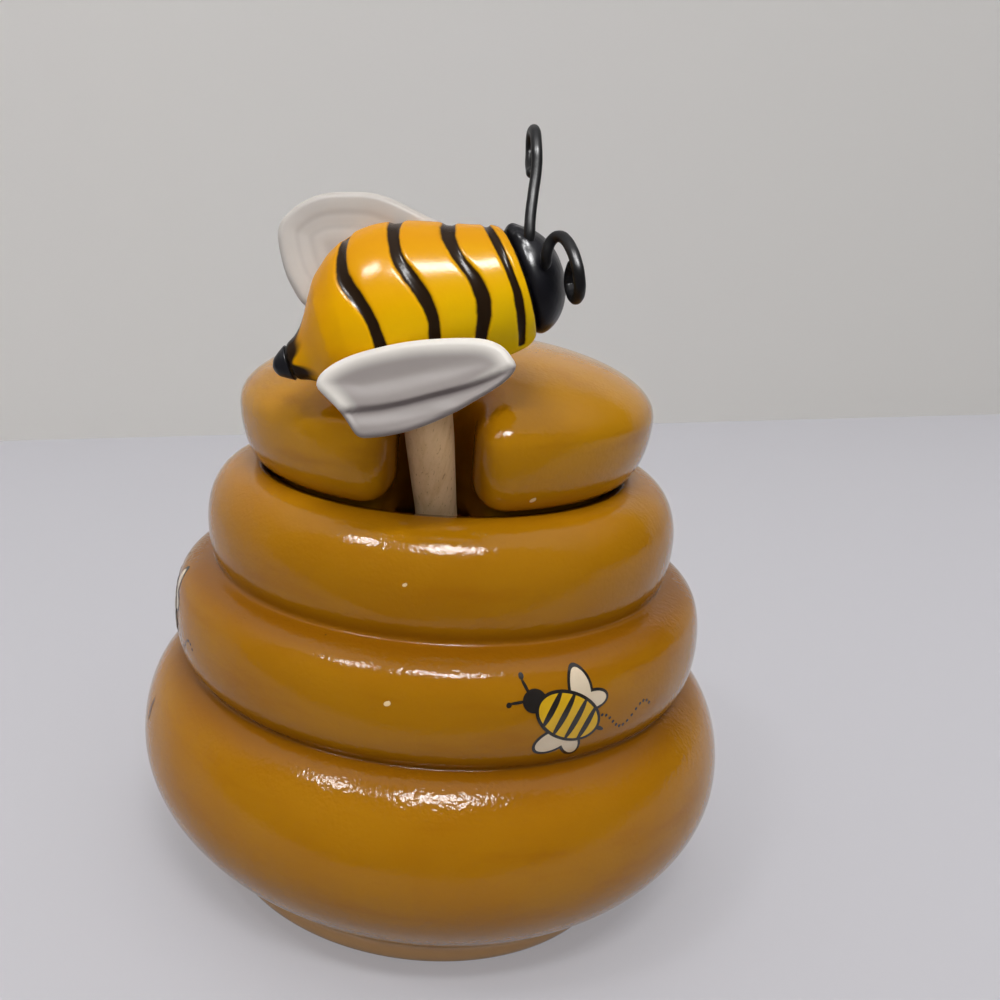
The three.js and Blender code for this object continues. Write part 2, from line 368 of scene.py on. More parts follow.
class NodeTree:
    """A node tree with short calls to add and join nodes."""

    def __init__(self, tree: bpy.types.NodeTree) -> None:
        """Wrap an empty or new tree."""
        self.tree = tree

    def add(self, kind: str, inputs: Inputs | None = None, **options: object) -> bpy.types.Node:
        """Add a node.

        Args:
            kind: The node's type name.
            inputs: Values or sockets for its inputs, by name or number.
            **options: Settings of the node itself.

        Returns:
            The new node.
        """
        node = self.tree.nodes.new(kind)
        for key, value in options.items():
            setattr(node, key, value)
        for key, value in (inputs or {}).items():
            if isinstance(value, NodeSocket):
                self.tree.links.new(value, node.inputs[key])
            else:
                node.inputs[key].default_value = value
        return node

    def math(self, operation: str, *values: object, clamp: bool = False) -> NodeSocket:
        """Add a Math node and return its result."""
        return self.add("ShaderNodeMath", dict(enumerate(values)), operation=operation, use_clamp=clamp).outputs[0]

    def noise(self, vector: object, scale: object, detail: float, roughness: float = 0.5) -> NodeSocket:
        """Add a Noise Texture and return its value from 0 to 1."""
        inputs = {"Vector": vector, "Scale": scale, "Detail": detail, "Roughness": roughness}
        return self.add("ShaderNodeTexNoise", inputs).outputs[0]

    def span(self, value: object, low: float, high: float, first: float = 0.0, last: float = 1.0) -> NodeSocket:
        """Map a value from one span to another, eased and held at its ends."""
        inputs = {"Value": value, "From Min": low, "From Max": high, "To Min": first, "To Max": last}
        return self.add("ShaderNodeMapRange", inputs, interpolation_type="SMOOTHSTEP").outputs[0]

    def mix(self, share: object, first: object, second: object) -> NodeSocket:
        """Mix two colours and return the result."""
        return self.add("ShaderNodeMix", {0: share, 6: first, 7: second}, data_type="RGBA").outputs[2]

    def scaled(self, vector: object, upright: float) -> NodeSocket:
        """Return a vector with its third axis scaled."""
        return self.add("ShaderNodeMapping", {"Vector": vector, "Scale": (1.0, 1.0, upright)}).outputs[0]

    def places(self) -> NodeSocket:
        """Return the Object coordinates."""
        return self.add("ShaderNodeTexCoord").outputs["Object"]

    def mask(self, name: str) -> NodeSocket:
        """Return a value that the mesh carries per vertex."""
        return self.add("ShaderNodeAttribute", attribute_name=name).outputs["Fac"]


def group_tree(
    name: str, inputs: dict[str, str], outputs: dict[str, str], fill: Callable[[NodeTree, object], Inputs]
) -> bpy.types.NodeTree:
    """Return the shader node group of that name, built once.

    Args:
        name: The group's name.
        inputs: Socket type of each input, by name.
        outputs: Socket type of each output, by name.
        fill: Builds the inside from the tree and its inputs, and returns what each output gets.

    Returns:
        The group's tree.
    """
    if name in bpy.data.node_groups:
        return bpy.data.node_groups[name]
    tree = bpy.data.node_groups.new(name, "ShaderNodeTree")
    for direction, sockets in (("INPUT", inputs), ("OUTPUT", outputs)):
        for label, kind in sockets.items():
            tree.interface.new_socket(name=label, in_out=direction, socket_type=f"NodeSocket{kind}")
    inside = NodeTree(tree)
    inside.add("NodeGroupOutput", fill(inside, inside.add("NodeGroupInput").outputs))
    return tree


def fill_speckle(tree: NodeTree, given: object) -> Inputs:
    """Build scattered specks: a few of the cells hold one, each of its own size.

    Args:
        tree: The tree to build in.
        given: The group's inputs.

    Returns:
        What each output gets.
    """
    sharpness = 40.0
    cells = tree.add("ShaderNodeTexVoronoi", {"Vector": given["Vector"], "Scale": given["Scale"]})
    chosen = tree.add("ShaderNodeSeparateColor", {0: cells.outputs["Color"]}).outputs
    inside = tree.math("SUBTRACT", tree.math("MULTIPLY", chosen[1], given["Size"]), cells.outputs["Distance"])
    kept = tree.math("LESS_THAN", chosen[0], given["Amount"])
    return {"Mask": tree.math("MULTIPLY", tree.math("MULTIPLY", inside, sharpness, clamp=True), kept)}


def speckle() -> bpy.types.NodeTree:
    """Return the group of scattered specks."""
    inputs = {"Vector": "Vector", "Scale": "Float", "Size": "Float", "Amount": "Float"}
    return group_tree("speckle", inputs, {"Mask": "Float"}, fill_speckle)


def fill_clouds(tree: NodeTree, given: object) -> Inputs:
    """Build a colour that drifts over the surface, with its uneven skin.

    Args:
        tree: The tree to build in.
        given: The group's inputs.

    Returns:
        What each output gets.
    """
    grains_per_cloud = 26.0
    broad = tree.noise(given["Vector"], given["Scale"], 3.0)
    fine = tree.noise(given["Vector"], tree.math("MULTIPLY", given["Scale"], grains_per_cloud), 1.0)
    drift = tree.math("MULTIPLY", tree.span(broad, 0.3, 0.7), given["Amount"])
    uneven = tree.math("MULTIPLY", tree.math("SUBTRACT", fine, 0.5), given["Roughness Spread"])
    return {
        "Color": tree.mix(drift, given["Color"], given["Drift Color"]),
        "Roughness": tree.math("ADD", given["Roughness"], uneven, clamp=True),
        "Height": tree.math("ADD", broad, tree.math("MULTIPLY", fine, given["Fine Share"])),
    }


def clouds() -> bpy.types.NodeTree:
    """Return the group of drifting colour and uneven skin.

    Returns:
        The group's tree.
    """
    numbers = ("Scale", "Amount", "Fine Share", "Roughness", "Roughness Spread")
    inputs = {"Vector": "Vector", "Color": "Color", "Drift Color": "Color"} | dict.fromkeys(numbers, "Float")
    return group_tree("clouds", inputs, {"Color": "Color", "Roughness": "Float", "Height": "Float"}, fill_clouds)


@dataclass(frozen=True)
class Finish:
    """A painted or glazed surface of one main colour."""

    name: str
    tone: Tone
    drift: Tone
    speck: Tone
    scale: float = 45.0
    amount: float = 0.5
    fine: float = 0.03
    roughness: float = 0.15
    spread: float = 0.06
    relief: float = 0.0002
    speck_scale: float = 240.0
    speck_size: float = 0.09
    speck_amount: float = 0.06
    specular: float = 0.5

    def start(self) -> tuple[Material, NodeTree]:
        """Return a new material with an empty tree.

        Returns:
            The material and its tree.
        """
        material = bpy.data.materials.new(self.name)
        material.use_nodes = True
        material.node_tree.nodes.clear()
        return material, NodeTree(material.node_tree)

    def skin(self, tree: NodeTree, base: object) -> bpy.types.Node:
        """Add the clouds group over a colour.

        Args:
            tree: The material's tree.
            base: The colour or the socket that gives it.

        Returns:
            The group's node.
        """
        inputs = {
            "Vector": tree.places(),
            "Color": base,
            "Drift Color": self.drift.linear(),
            "Scale": self.scale,
            "Amount": self.amount,
            "Fine Share": self.grit(tree),
            "Roughness": self.roughness,
            "Roughness Spread": self.spread,
        }
        return tree.add("ShaderNodeGroup", inputs, node_tree=clouds())

    def grit(self, tree: NodeTree) -> object:
        """Return the share of fine grain in the relief."""
        return self.fine

    def specks(self, tree: NodeTree, base: object) -> NodeSocket:
        """Scatter specks over a colour and return the result.

        Args:
            tree: The tree to build in.
            base: The colour or the socket that gives it.

        Returns:
            The colour's socket.
        """
        inputs = {
            "Vector": tree.places(), "Scale": self.speck_scale, "Size": self.speck_size, "Amount": self.speck_amount,
        }
        mask = tree.add("ShaderNodeGroup", inputs, node_tree=speckle()).outputs[0]
        return tree.mix(mask, base, self.speck.linear())

    def close(self, tree: NodeTree, color: object, roughness: object, height: object) -> bpy.types.Node:
        """Join a colour, a roughness and a height to the shader and the output.

        Args:
            tree: The material's tree.
            color: The colour's socket.
            roughness: The roughness's socket.
            height: The relief's socket.

        Returns:
            The Principled shader.
        """
        bump = tree.add("ShaderNodeBump", {"Height": height, "Distance": self.relief, "Strength": 1.0}).outputs[0]
        inputs = {"Base Color": color, "Roughness": roughness, "Normal": bump, "Specular IOR Level": self.specular}
        shader = tree.add("ShaderNodeBsdfPrincipled", inputs)
        tree.add("ShaderNodeOutputMaterial", {"Surface": shader.outputs[0]})
        return shader

    def over(self, tree: NodeTree, color: object) -> object:
        """Return the colour with what lies on top of it."""
        return color

    def material(self) -> Material:
        """Return the material, built once."""
        return bpy.data.materials.get(self.name) or self.build()

    def build(self) -> Material:
        """Build the material.

        Returns:
            The new material.
        """
        material, tree = self.start()
        skin = self.skin(tree, self.tone.linear())
        color = self.specks(tree, self.over(tree, skin.outputs["Color"]))
        self.close(tree, color, skin.outputs["Roughness"], skin.outputs["Height"])
        return material


@dataclass(frozen=True)
class GlazeFinish(Finish):
    """The jar's glaze, darker where it pools in the creases, with painted shade there and on the lid, and paler where
    it thins on the foot, partly as painted light.
    """

    # darker tone where the glaze pools in the creases, which also carries painted shade
    pooled_and_painted_shade: Tone = Tone(122, 73, 6)
    # paler tone where the glaze thins on the foot, lifted further as painted light
    thin_and_painted_light: Tone = Tone(232, 184, 128)
    streak: Tone = Tone(152, 94, 2)
    streak_scale: float = 38.0
    streak_squeeze: float = 5.0
    shoulder_grit: float = 0.34

    def grit(self, tree: NodeTree) -> object:
        """Return the share of fine grain, which is higher on the shoulders of the rings."""
        return tree.math("MULTIPLY_ADD", tree.mask("grit"), self.shoulder_grit, self.fine)

    def over(self, tree: NodeTree, color: object) -> object:
        """Return the glaze, darker in its streaks and where it pools, with painted shade in the creases and on the
        lid, and paler where it thins on the foot, partly as painted light.

        Args:
            tree: The tree to build in.
            color: The colour underneath.

        Returns:
            The colour's socket.
        """
        flat = tree.scaled(tree.places(), self.streak_squeeze)
        streaks = tree.span(tree.noise(flat, self.streak_scale, 4.0, 0.55), 0.5, 0.78, 0.0, 0.55)
        streaked = tree.mix(streaks, color, self.streak.linear())
        # painted shade: darker in the pot's creases, partly for glaze that pools there, and on the lid by its seat and
        # notch
        pooled_and_painted_shade = tree.mix(tree.mask("pooled_and_painted_shade"), streaked, self.pooled_and_painted_shade.linear())
        # paler on the foot where the glaze thins, partly painted light
        return tree.mix(tree.mask("thin_and_painted_light"), pooled_and_painted_shade, self.thin_and_painted_light.linear())


@dataclass(frozen=True)
class BeePaintFinish(Finish):
    """Yellow paint, greener and lifted with painted light below and towards the collar, darkened with painted shade on
    the back, with dark grooves and painted shade beside them.
    """

    # greener, lighter tone below and towards the collar: painted light there
    olive_and_painted_light: Tone = Tone(246, 208, 14)
    # darker orange tone: on the back as painted shade, at the tail end as the paint's own orange
    amber_and_painted_shade: Tone = Tone(208, 138, 4)
    # brown beside the grooves: paint run out of them, with painted shade on their walls
    bleed_and_groove_shade: Tone = Tone(120, 80, 4)
    stripe: Tone = Tone(42, 29, 17)
    smudge_scale: float = 210.0
    waver_scale: float = 600.0
    waver: float = 0.4

    def over(self, tree: NodeTree, color: object) -> object:
        """Return the yellow, lifted with painted light below and towards the collar, darkened with painted shade on
        the back, with the paint that has run into the grooves and painted shade beside them.

        Args:
            tree: The tree to build in.
            color: The colour underneath.

        Returns:
            The colour's socket.
        """
        # painted light: lighter and greener below and towards the collar
        greener = tree.mix(tree.mask("olive_and_painted_light"), color, self.olive_and_painted_light.linear())
        # painted shade darkens the back, and the tail end turns orange
        yellow = tree.mix(tree.mask("amber_and_painted_shade"), greener, self.amber_and_painted_shade.linear())
        smudges = tree.span(tree.noise(tree.places(), self.smudge_scale, 3.0), 0.66, 0.8, 0.0, 0.6)
        yellow = tree.mix(smudges, yellow, self.amber_and_painted_shade.linear())
        uneven = tree.math("SUBTRACT", tree.noise(tree.places(), self.waver_scale, 4.0), 0.5)
        wavering = tree.math("MULTIPLY", uneven, self.waver)
        depth = tree.math("ADD", tree.mask("stripe"), wavering)
        # paint run out beside the grooves, with painted shade on their walls
        with_bleed_and_shade = tree.mix(tree.span(depth, 0.1, 0.6), yellow, self.bleed_and_groove_shade.linear())
        striped = tree.mix(tree.span(depth, 0.4, 0.62), with_bleed_and_shade, self.stripe.linear())
        soot = tree.math("ADD", tree.mask("soot"), tree.math("MULTIPLY", wavering, tree.mask("soot")))
        return tree.mix(tree.span(soot, 0.1, 0.8), striped, self.stripe.linear())


@dataclass(frozen=True)
class WingFinish(Finish):
    """White paint with painted shade on its hollow faces and in its creases."""

    shade: Tone = Tone(133, 124, 122)

    def over(self, tree: NodeTree, color: object) -> object:
        """Return the white, with painted shade where the crease mask is high."""
        return tree.mix(tree.mask("crease"), color, self.shade.linear())


@dataclass(frozen=True)
class WoodFinish(Finish):
    """Bare turned wood with its grain along the stick."""

    grain: Tone = Tone(200, 162, 118)
    pore: Tone = Tone(142, 102, 66)
    lean: Triple = (0.1781, -0.1284, 0.0)
    ring_scale: float = 700.0
    fibre_scale: float = 2600.0
    pore_scale: float = 2900.0
    drawn_out: float = 0.05
    pore_drawn_out: float = 0.22

    def build(self) -> Material:
        """Build the material, its pattern drawn out along the stick.

        Returns:
            The new material.
        """
        material, tree = self.start()
        turn = {"Vector": tree.places(), "Rotation": self.lean}
        turned = tree.add("ShaderNodeMapping", turn, vector_type="POINT").outputs[0]
        drawn = tree.scaled(turned, self.drawn_out)
        rings = tree.noise(drawn, self.ring_scale, 4.0, 0.6)
        fibres = tree.noise(drawn, self.fibre_scale, 3.0, 0.7)
        pores = tree.noise(tree.scaled(turned, self.pore_drawn_out), self.pore_scale, 1.0)
        base = tree.mix(tree.span(rings, 0.4, 0.68, 0.0, 0.7), self.tone.linear(), self.grain.linear())
        base = tree.mix(tree.span(fibres, 0.58, 0.78, 0.0, 0.5), base, self.pore.linear())
        base = tree.mix(tree.span(pores, 0.66, 0.74, 0.0, 0.75), base, self.pore.linear())
        skin = self.skin(tree, base)
        color = self.specks(tree, skin.outputs["Color"])
        height = tree.math("SUBTRACT", tree.math("ADD", fibres, tree.math("MULTIPLY", rings, 0.6)), pores)
        self.close(tree, color, skin.outputs["Roughness"], height)
        return material


def amber_glaze(name: str, tone: Tone, drift: Tone) -> GlazeFinish:
    """Return the jar's glaze in one tone, with the skin that the pot and the lid share.

    Args:
        name: The material's name.
        tone: Its main colour.
        drift: The colour that it drifts to.

    Returns:
        The finish.
    """
    return GlazeFinish(
        name, tone, drift, Tone(70, 44, 14), fine=0.13, roughness=0.07, spread=0.03, relief=0.0005, specular=0.24,
        speck_scale=120.0, speck_size=0.05, speck_amount=0.05,
    )


def print_ink(name: str, tone: Tone, drift: Tone, speck: Tone, scale: float = 300.0) -> Finish:
    """Return one of the printed inks, which share their shine and relief."""
    return Finish(name, tone, drift, speck, scale=scale, roughness=0.14, relief=0.00005)


@dataclass(frozen=True)
class FinishSet:
    """The finishes of the whole object."""

    glaze: Finish = amber_glaze("amber_glaze", Tone(170, 115, 9), Tone(159, 102, 5))
    # the lid's glaze is a lighter copy of the pot's, as painted light for a lid that is lit more
    lid_glaze_painted_lighter: Finish = amber_glaze("amber_glaze_painted_lighter", Tone(185, 129, 12), Tone(173, 116, 8))
    wood: Finish = WoodFinish(
        "bare_wood", Tone(222, 189, 147), Tone(208, 172, 128), Tone(132, 94, 62), roughness=0.72,
        relief=0.0001, specular=0.03,
    )
    yellow: Finish = BeePaintFinish(
        "bee_yellow_paint", Tone(252, 190, 4), Tone(246, 170, 2), Tone(150, 90, 14), scale=90.0, fine=0.08,
        roughness=0.22, relief=0.00018, speck_scale=420.0, speck_size=0.12, speck_amount=0.03, specular=0.05,
    )
    black: Finish = Finish(
        "bee_black_paint", Tone(24, 24, 29), Tone(34, 34, 40), Tone(92, 92, 98), scale=160.0,
        roughness=0.3, relief=0.0003, speck_scale=500.0, speck_size=0.1, speck_amount=0.03, specular=0.12,
    )
    white: Finish = WingFinish(
        "wing_white_paint", Tone(226, 221, 213), Tone(215, 209, 202), Tone(120, 104, 96), scale=110.0,
        roughness=0.42, relief=0.00012, speck_scale=330.0, speck_size=0.08, speck_amount=0.025, specular=0.04,
    )
    wire: Finish = Finish(
        "black_wire", Tone(20, 20, 22), Tone(34, 33, 34), Tone(70, 68, 66), scale=300.0,
        roughness=0.38, relief=0.00008, speck_scale=900.0, specular=0.12,
    )
    ink: Finish = print_ink("print_black", Tone(30, 26, 24), Tone(40, 36, 32), Tone(60, 50, 40), 200.0)
    ink_yellow: Finish = print_ink("print_yellow", Tone(222, 176, 22), Tone(206, 160, 16), Tone(120, 90, 30))
    ink_white: Finish = print_ink("print_white", Tone(226, 208, 180), Tone(214, 196, 168), Tone(150, 130, 100))
    gap: Finish = Finish(
        "burnt_gap", Tone(112, 72, 40), Tone(84, 52, 28), Tone(60, 40, 24), scale=700.0, roughness=0.35, relief=0.0001,
    )
    chip: Finish = Finish(
        "bare_clay_chip", Tone(238, 206, 150), Tone(214, 178, 118), Tone(150, 110, 60), scale=400.0,
        roughness=0.5, relief=0.0002,
    )


# The pot


@dataclass
class Pot:
    """The pot: three rings on a low foot."""

    foot_radius: float = 43.7 * MM
    foot_height: float = 3.4 * MM
    foot_ring_width: float = 5.5 * MM
    foot_recess: float = 1.6 * MM
    bowl_start: Pair = (46.6 * MM, 7.0 * MM)
    bowl: Pair = (60.0 * MM, 28.0 * MM)
    waist: Pair = (49.4 * MM, 45.5 * MM)
    middle: Pair = (53.2 * MM, 54.9 * MM)
    neck: Pair = (43.7 * MM, 65.5 * MM)
    upper: Pair = (46.5 * MM, 74.5 * MM)
    rim: Pair = (37.0 * MM, 85.3 * MM)
    lip: float = 3.5 * MM
    wall: float = 4.5 * MM
    floor: float = 6.2 * MM
    fullness: tuple[float, ...] = (1.8, 1.05, 0.83, 0.42, 0.74, 0.8)
    edge_round: float = 1.15 * MM
    crease_round: float = 2.3 * MM
    crease_reach: float = 3.0 * MM
    crease_shares: Pair = (0.3, 1.0)
    # darker glaze in the creases, partly painted shade: how far it reaches and how strong it is
    pool_and_shade_reach: Pair = (2.2 * MM, 1.7 * MM)
    pool_and_shade_share: float = 0.85
    # the foot's paleness, partly painted light
    thin_heights: Pair = (6.0 * MM, 3.0 * MM)
    thin_share: float = 0.8
    shoulders: tuple[Triple, ...] = ((0.3, 64.6 * MM, 1.2 * MM), (0.34, 41.0 * MM, 2.2 * MM))
    steps: int = 176
    quick_steps: int = 96
    skin: np.ndarray = field(init=False)

    def __post_init__(self) -> None:
        """Work out the outside once."""
        self.skin = self.outer_skin()

    def outside(self) -> np.ndarray:
        """Return the outline of the rings, from the foot up to the rim.

        Returns:
            Rows of radius and height.
        """
        creases = (self.bowl_start, self.waist, self.waist, self.neck, self.neck, self.rim)
        bulges = (self.bowl, self.bowl, self.middle, self.middle, self.upper, self.upper)
        stretches = [swell(*ends) for ends in zip(creases, bulges, self.fullness)]
        stretches[1::2] = [stretch[::-1] for stretch in stretches[1::2]]
        return np.vstack([stretch[1:] if number else stretch for number, stretch in enumerate(stretches)])

    def outer_skin(self) -> np.ndarray:
        """Return the rounded outline of the outside, foot and rings.

        Returns:
            Rows of radius and height.
        """
        radius = self.foot_radius
        foot = np.array([(radius - 0.7 * MM, 0.0), (radius, 0.8 * MM), (radius, self.foot_height)])
        whole = np.vstack((foot, self.outside()))
        soft = softened(whole, 0.5 * MM, self.edge_round)
        wide = softened(whole, 0.5 * MM, self.crease_round)
        near = sum(
            share * bell(soft[:, 1], crease[1], self.crease_reach)
            for share, crease in zip(self.crease_shares, (self.waist, self.neck))
        )
        soft = soft + (wide - soft) * near[:, None]
        soft[:, 0] = np.minimum(soft[:, 0], self.bowl[0] - 0.02 * MM)
        return soft

    def radius_at(self, height: float) -> float:
        """Return the outer radius at a height."""
        return float(np.interp(height, self.skin[:, 1], self.skin[:, 0]))

    def outline(self) -> np.ndarray:
        """Return the whole outline, from the axis underneath round to the floor inside.

        Returns:
            Rows of radius and height.
        """
        inner_foot = self.foot_radius - self.foot_ring_width
        mouth = self.rim[0] - self.lip
        inside = self.outside()
        inside = inside[(inside[:, 1] > self.floor + 5 * MM) & (inside[:, 1] < self.rim[1])]
        inside = (inside - (self.wall, 0.0))[::-1]
        under = [(0.0, self.foot_recess), (inner_foot, self.foot_recess), (inner_foot + 0.4 * MM, 0.0)]
        within = np.vstack((
            [(mouth, self.rim[1])], inside, [(inside[-1][0] - 5 * MM, self.floor)], [(0.0, self.floor)]
        ))
        return np.vstack((
            softened(np.array(under), 1.0 * MM, 0.4 * MM),
            self.skin,
            softened(within, 1.6 * MM, 1.2 * MM)[1:],
        ))

    def build(self, material: Material) -> Object:
        """Make the pot's mesh and dress it in its glaze.

        Args:
            material: Its finish.

        Returns:
            The pot.
        """
        mesh = spun(self.outline(), self.steps)
        places = vertex_places(mesh)
        radius, height = np.hypot(places[:, 0], places[:, 1]), places[:, 2]
        shown = eased(-1.5 * MM, -0.2 * MM, radius - np.interp(height, self.skin[:, 1], self.skin[:, 0]))
        creases = sum(
            np.exp(-0.5 * ((height - crease[1]) / reach) ** 2)
            for crease, reach in zip((self.waist, self.neck), self.pool_and_shade_reach)
        )
        masks = {
            # darker in the creases, partly glaze that pools there and partly painted shade
            "pooled_and_painted_shade": np.clip(self.pool_and_shade_share * creases * shown, 0.0, 1.0),
            # paler on the foot, partly glaze that thins there and partly painted light
            "thin_and_painted_light": self.thin_share * eased(*self.thin_heights, height) * shown,
            "grit": sum(share * bell(height, middle, reach) for share, middle, reach in self.shoulders),
        }
        return place_piece(finished(mesh, "beehive_pot", material, masks), Body.JAR, Slot.GLAZE, "jar_body")


# The lid


@dataclass
class Lid:
    """The hollow domed lid with its rounded notch."""

    seat: Pair = (34.4 * MM, 85.6 * MM)
    bulge: Pair = (40.1 * MM, 97.8 * MM)
    top: float = 110.6 * MM
    wall: float = 4.4 * MM
    flange_radius: float = 32.7 * MM
    flange_bottom: float = 79.3 * MM
    flange_wall: float = 3.6 * MM
    notch_half: float = 6.5 * MM
    notch_end: float = 23.6 * MM
    notch_round: float = 6.4 * MM
    edge_round: float = 1.1 * MM
    voxel: float = 0.75 * MM
    quick_voxel: float = 1.6 * MM
    smoothings: tuple[tuple[int, float], ...] = ((3, 0.5), (2, 0.3))
    # painted shade on the lid: darker by its seat, by the notch walls and on the flank beside the notch
    dark_seat: Pair = (90.0 * MM, 84.0 * MM)
    dark_notch: Pair = (4.0 * MM, 0.5 * MM)
    dark_flank: Pair = (108.0 * MM, 96.0 * MM)
    dark_shares: Pair = (0.6, 0.8)

    def blank(self) -> np.ndarray:
        """Return the closed outline of the lid without its hollow.

        Returns:
            Rows of radius and height.
        """
        radius, low = self.flange_radius, self.flange_bottom
        shell = np.vstack((
            [(0.0, low), (radius, low), (radius, self.seat[1])],
            swell(self.seat, self.bulge, 1.0),
            swell((0.0, self.top), self.bulge, 1.0)[::-1][1:],
        ))
        return softened(shell, 0.6 * MM, 0.7 * MM)

    def radius_at(self, height: float) -> float:
        """Return the outer radius at a height between the seat and the bulge.

        Args:
            height: Height over the table.

        Returns:
            The radius there.
        """
        flank = self.blank()
        flank = flank[(flank[:, 1] > self.seat[1] + 1 * MM) & (flank[:, 1] < self.bulge[1])]
        return float(np.interp(height, flank[:, 1], flank[:, 0]))

    def hollow(self) -> np.ndarray:
        """Return the closed outline of the room under the dome.

        Returns:
            Rows of radius and height.
        """
        inner = self.flange_radius - self.flange_wall
        low = self.flange_bottom - 2 * MM
        dome = swell((0.0, self.top - self.wall), (inner, self.bulge[1]), 1.0)[::-1]
        return np.vstack(([(0.0, low), (inner, low)], softened(dome, 1.2 * MM, 0.8 * MM)))

    def notch(self, places: np.ndarray) -> np.ndarray:
        """Return the signed distance to the notch, negative inside it."""
        beyond = np.maximum(places[:, 1] + self.notch_end + self.notch_half, 0.0)
        return np.hypot(places[:, 0], beyond) - self.notch_half

    def distance(self, places: np.ndarray) -> np.ndarray:
        """Return the signed distance to the lid's rounded surface.

        Args:
            places: Rows of coordinates.

        Returns:
            One distance per place, negative inside.
        """
        radius = np.hypot(places[:, 0], places[:, 1])
        notch = self.notch(places)
        body = outline_distance(self.blank(), radius, places[:, 2])
        shell = rounded_cut(body, notch, self.notch_round)
        room = np.maximum(outline_distance(self.hollow(), radius, places[:, 2]), self.wall - notch)
        return rounded_cut(shell, room, self.edge_round)

    def settled(self, places: np.ndarray) -> np.ndarray:
        """Move places onto the rounded surface along its slope.

        Args:
            places: Rows of coordinates near the surface.

        Returns:
            Rows of coordinates on it.
        """
        step = 0.02 * MM
        for _ in range(4):
            here = self.distance(places)
            slope = np.column_stack([
                (self.distance(places + np.eye(3)[axis] * step) - here) / step for axis in range(3)
            ])
            size = np.maximum((slope**2).sum(axis=1), 0.25)
            places = places - slope * (here / size)[:, None]
        return places

    def even_mesh(self, packed: Object) -> BMesh:
        """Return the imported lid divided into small, even faces.

        Args:
            packed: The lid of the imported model.

        Returns:
            A new mesh.
        """
        mesh = bmesh.new()
        mesh.from_mesh(packed.data)
        bmesh.ops.remove_doubles(mesh, verts=mesh.verts, dist=1e-6)
        draft = bpy.data.meshes.new("lid_draft")
        mesh.to_mesh(draft)
        mesh.free()
        source = in_scene("lid_draft", draft)
        remesh = source.modifiers.new("even", "REMESH")
        remesh.mode = "VOXEL"
        remesh.voxel_size = self.voxel
        mesh = drawn_mesh(source)
        bpy.data.meshes.remove(draft)
        return mesh

    def build(self, packed: Object, material: Material) -> Object:
        """Make the lid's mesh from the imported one, rounded, and dress it.

        Args:
            packed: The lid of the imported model.
            material: The glaze.

        Returns:
            The lid.
        """
        mesh = self.even_mesh(packed)
        every_way = {"use_axis_x": True, "use_axis_y": True, "use_axis_z": True}
        for times, factor in self.smoothings:
            for _ in range(times):
                bmesh.ops.smooth_vert(mesh, verts=mesh.verts, factor=factor, **every_way)
            put_vertices(mesh, self.settled(vertex_places(mesh)))
        bmesh.ops.recalc_face_normals(mesh, faces=mesh.faces)
        places = vertex_places(mesh)
        # painted shade: darker by the seat and beside the notch
        low = eased(*self.dark_seat, places[:, 2])
        near = eased(*self.dark_notch, self.notch(places)) * eased(*self.dark_flank, places[:, 2])
        masks = {"pooled_and_painted_shade": np.clip(self.dark_shares[0] * low + self.dark_shares[1] * near, 0.0, 1.0)}
        return place_piece(finished(mesh, "beehive_lid", material, masks), Body.LID, Slot.GLAZE, "lid")


# The dipper


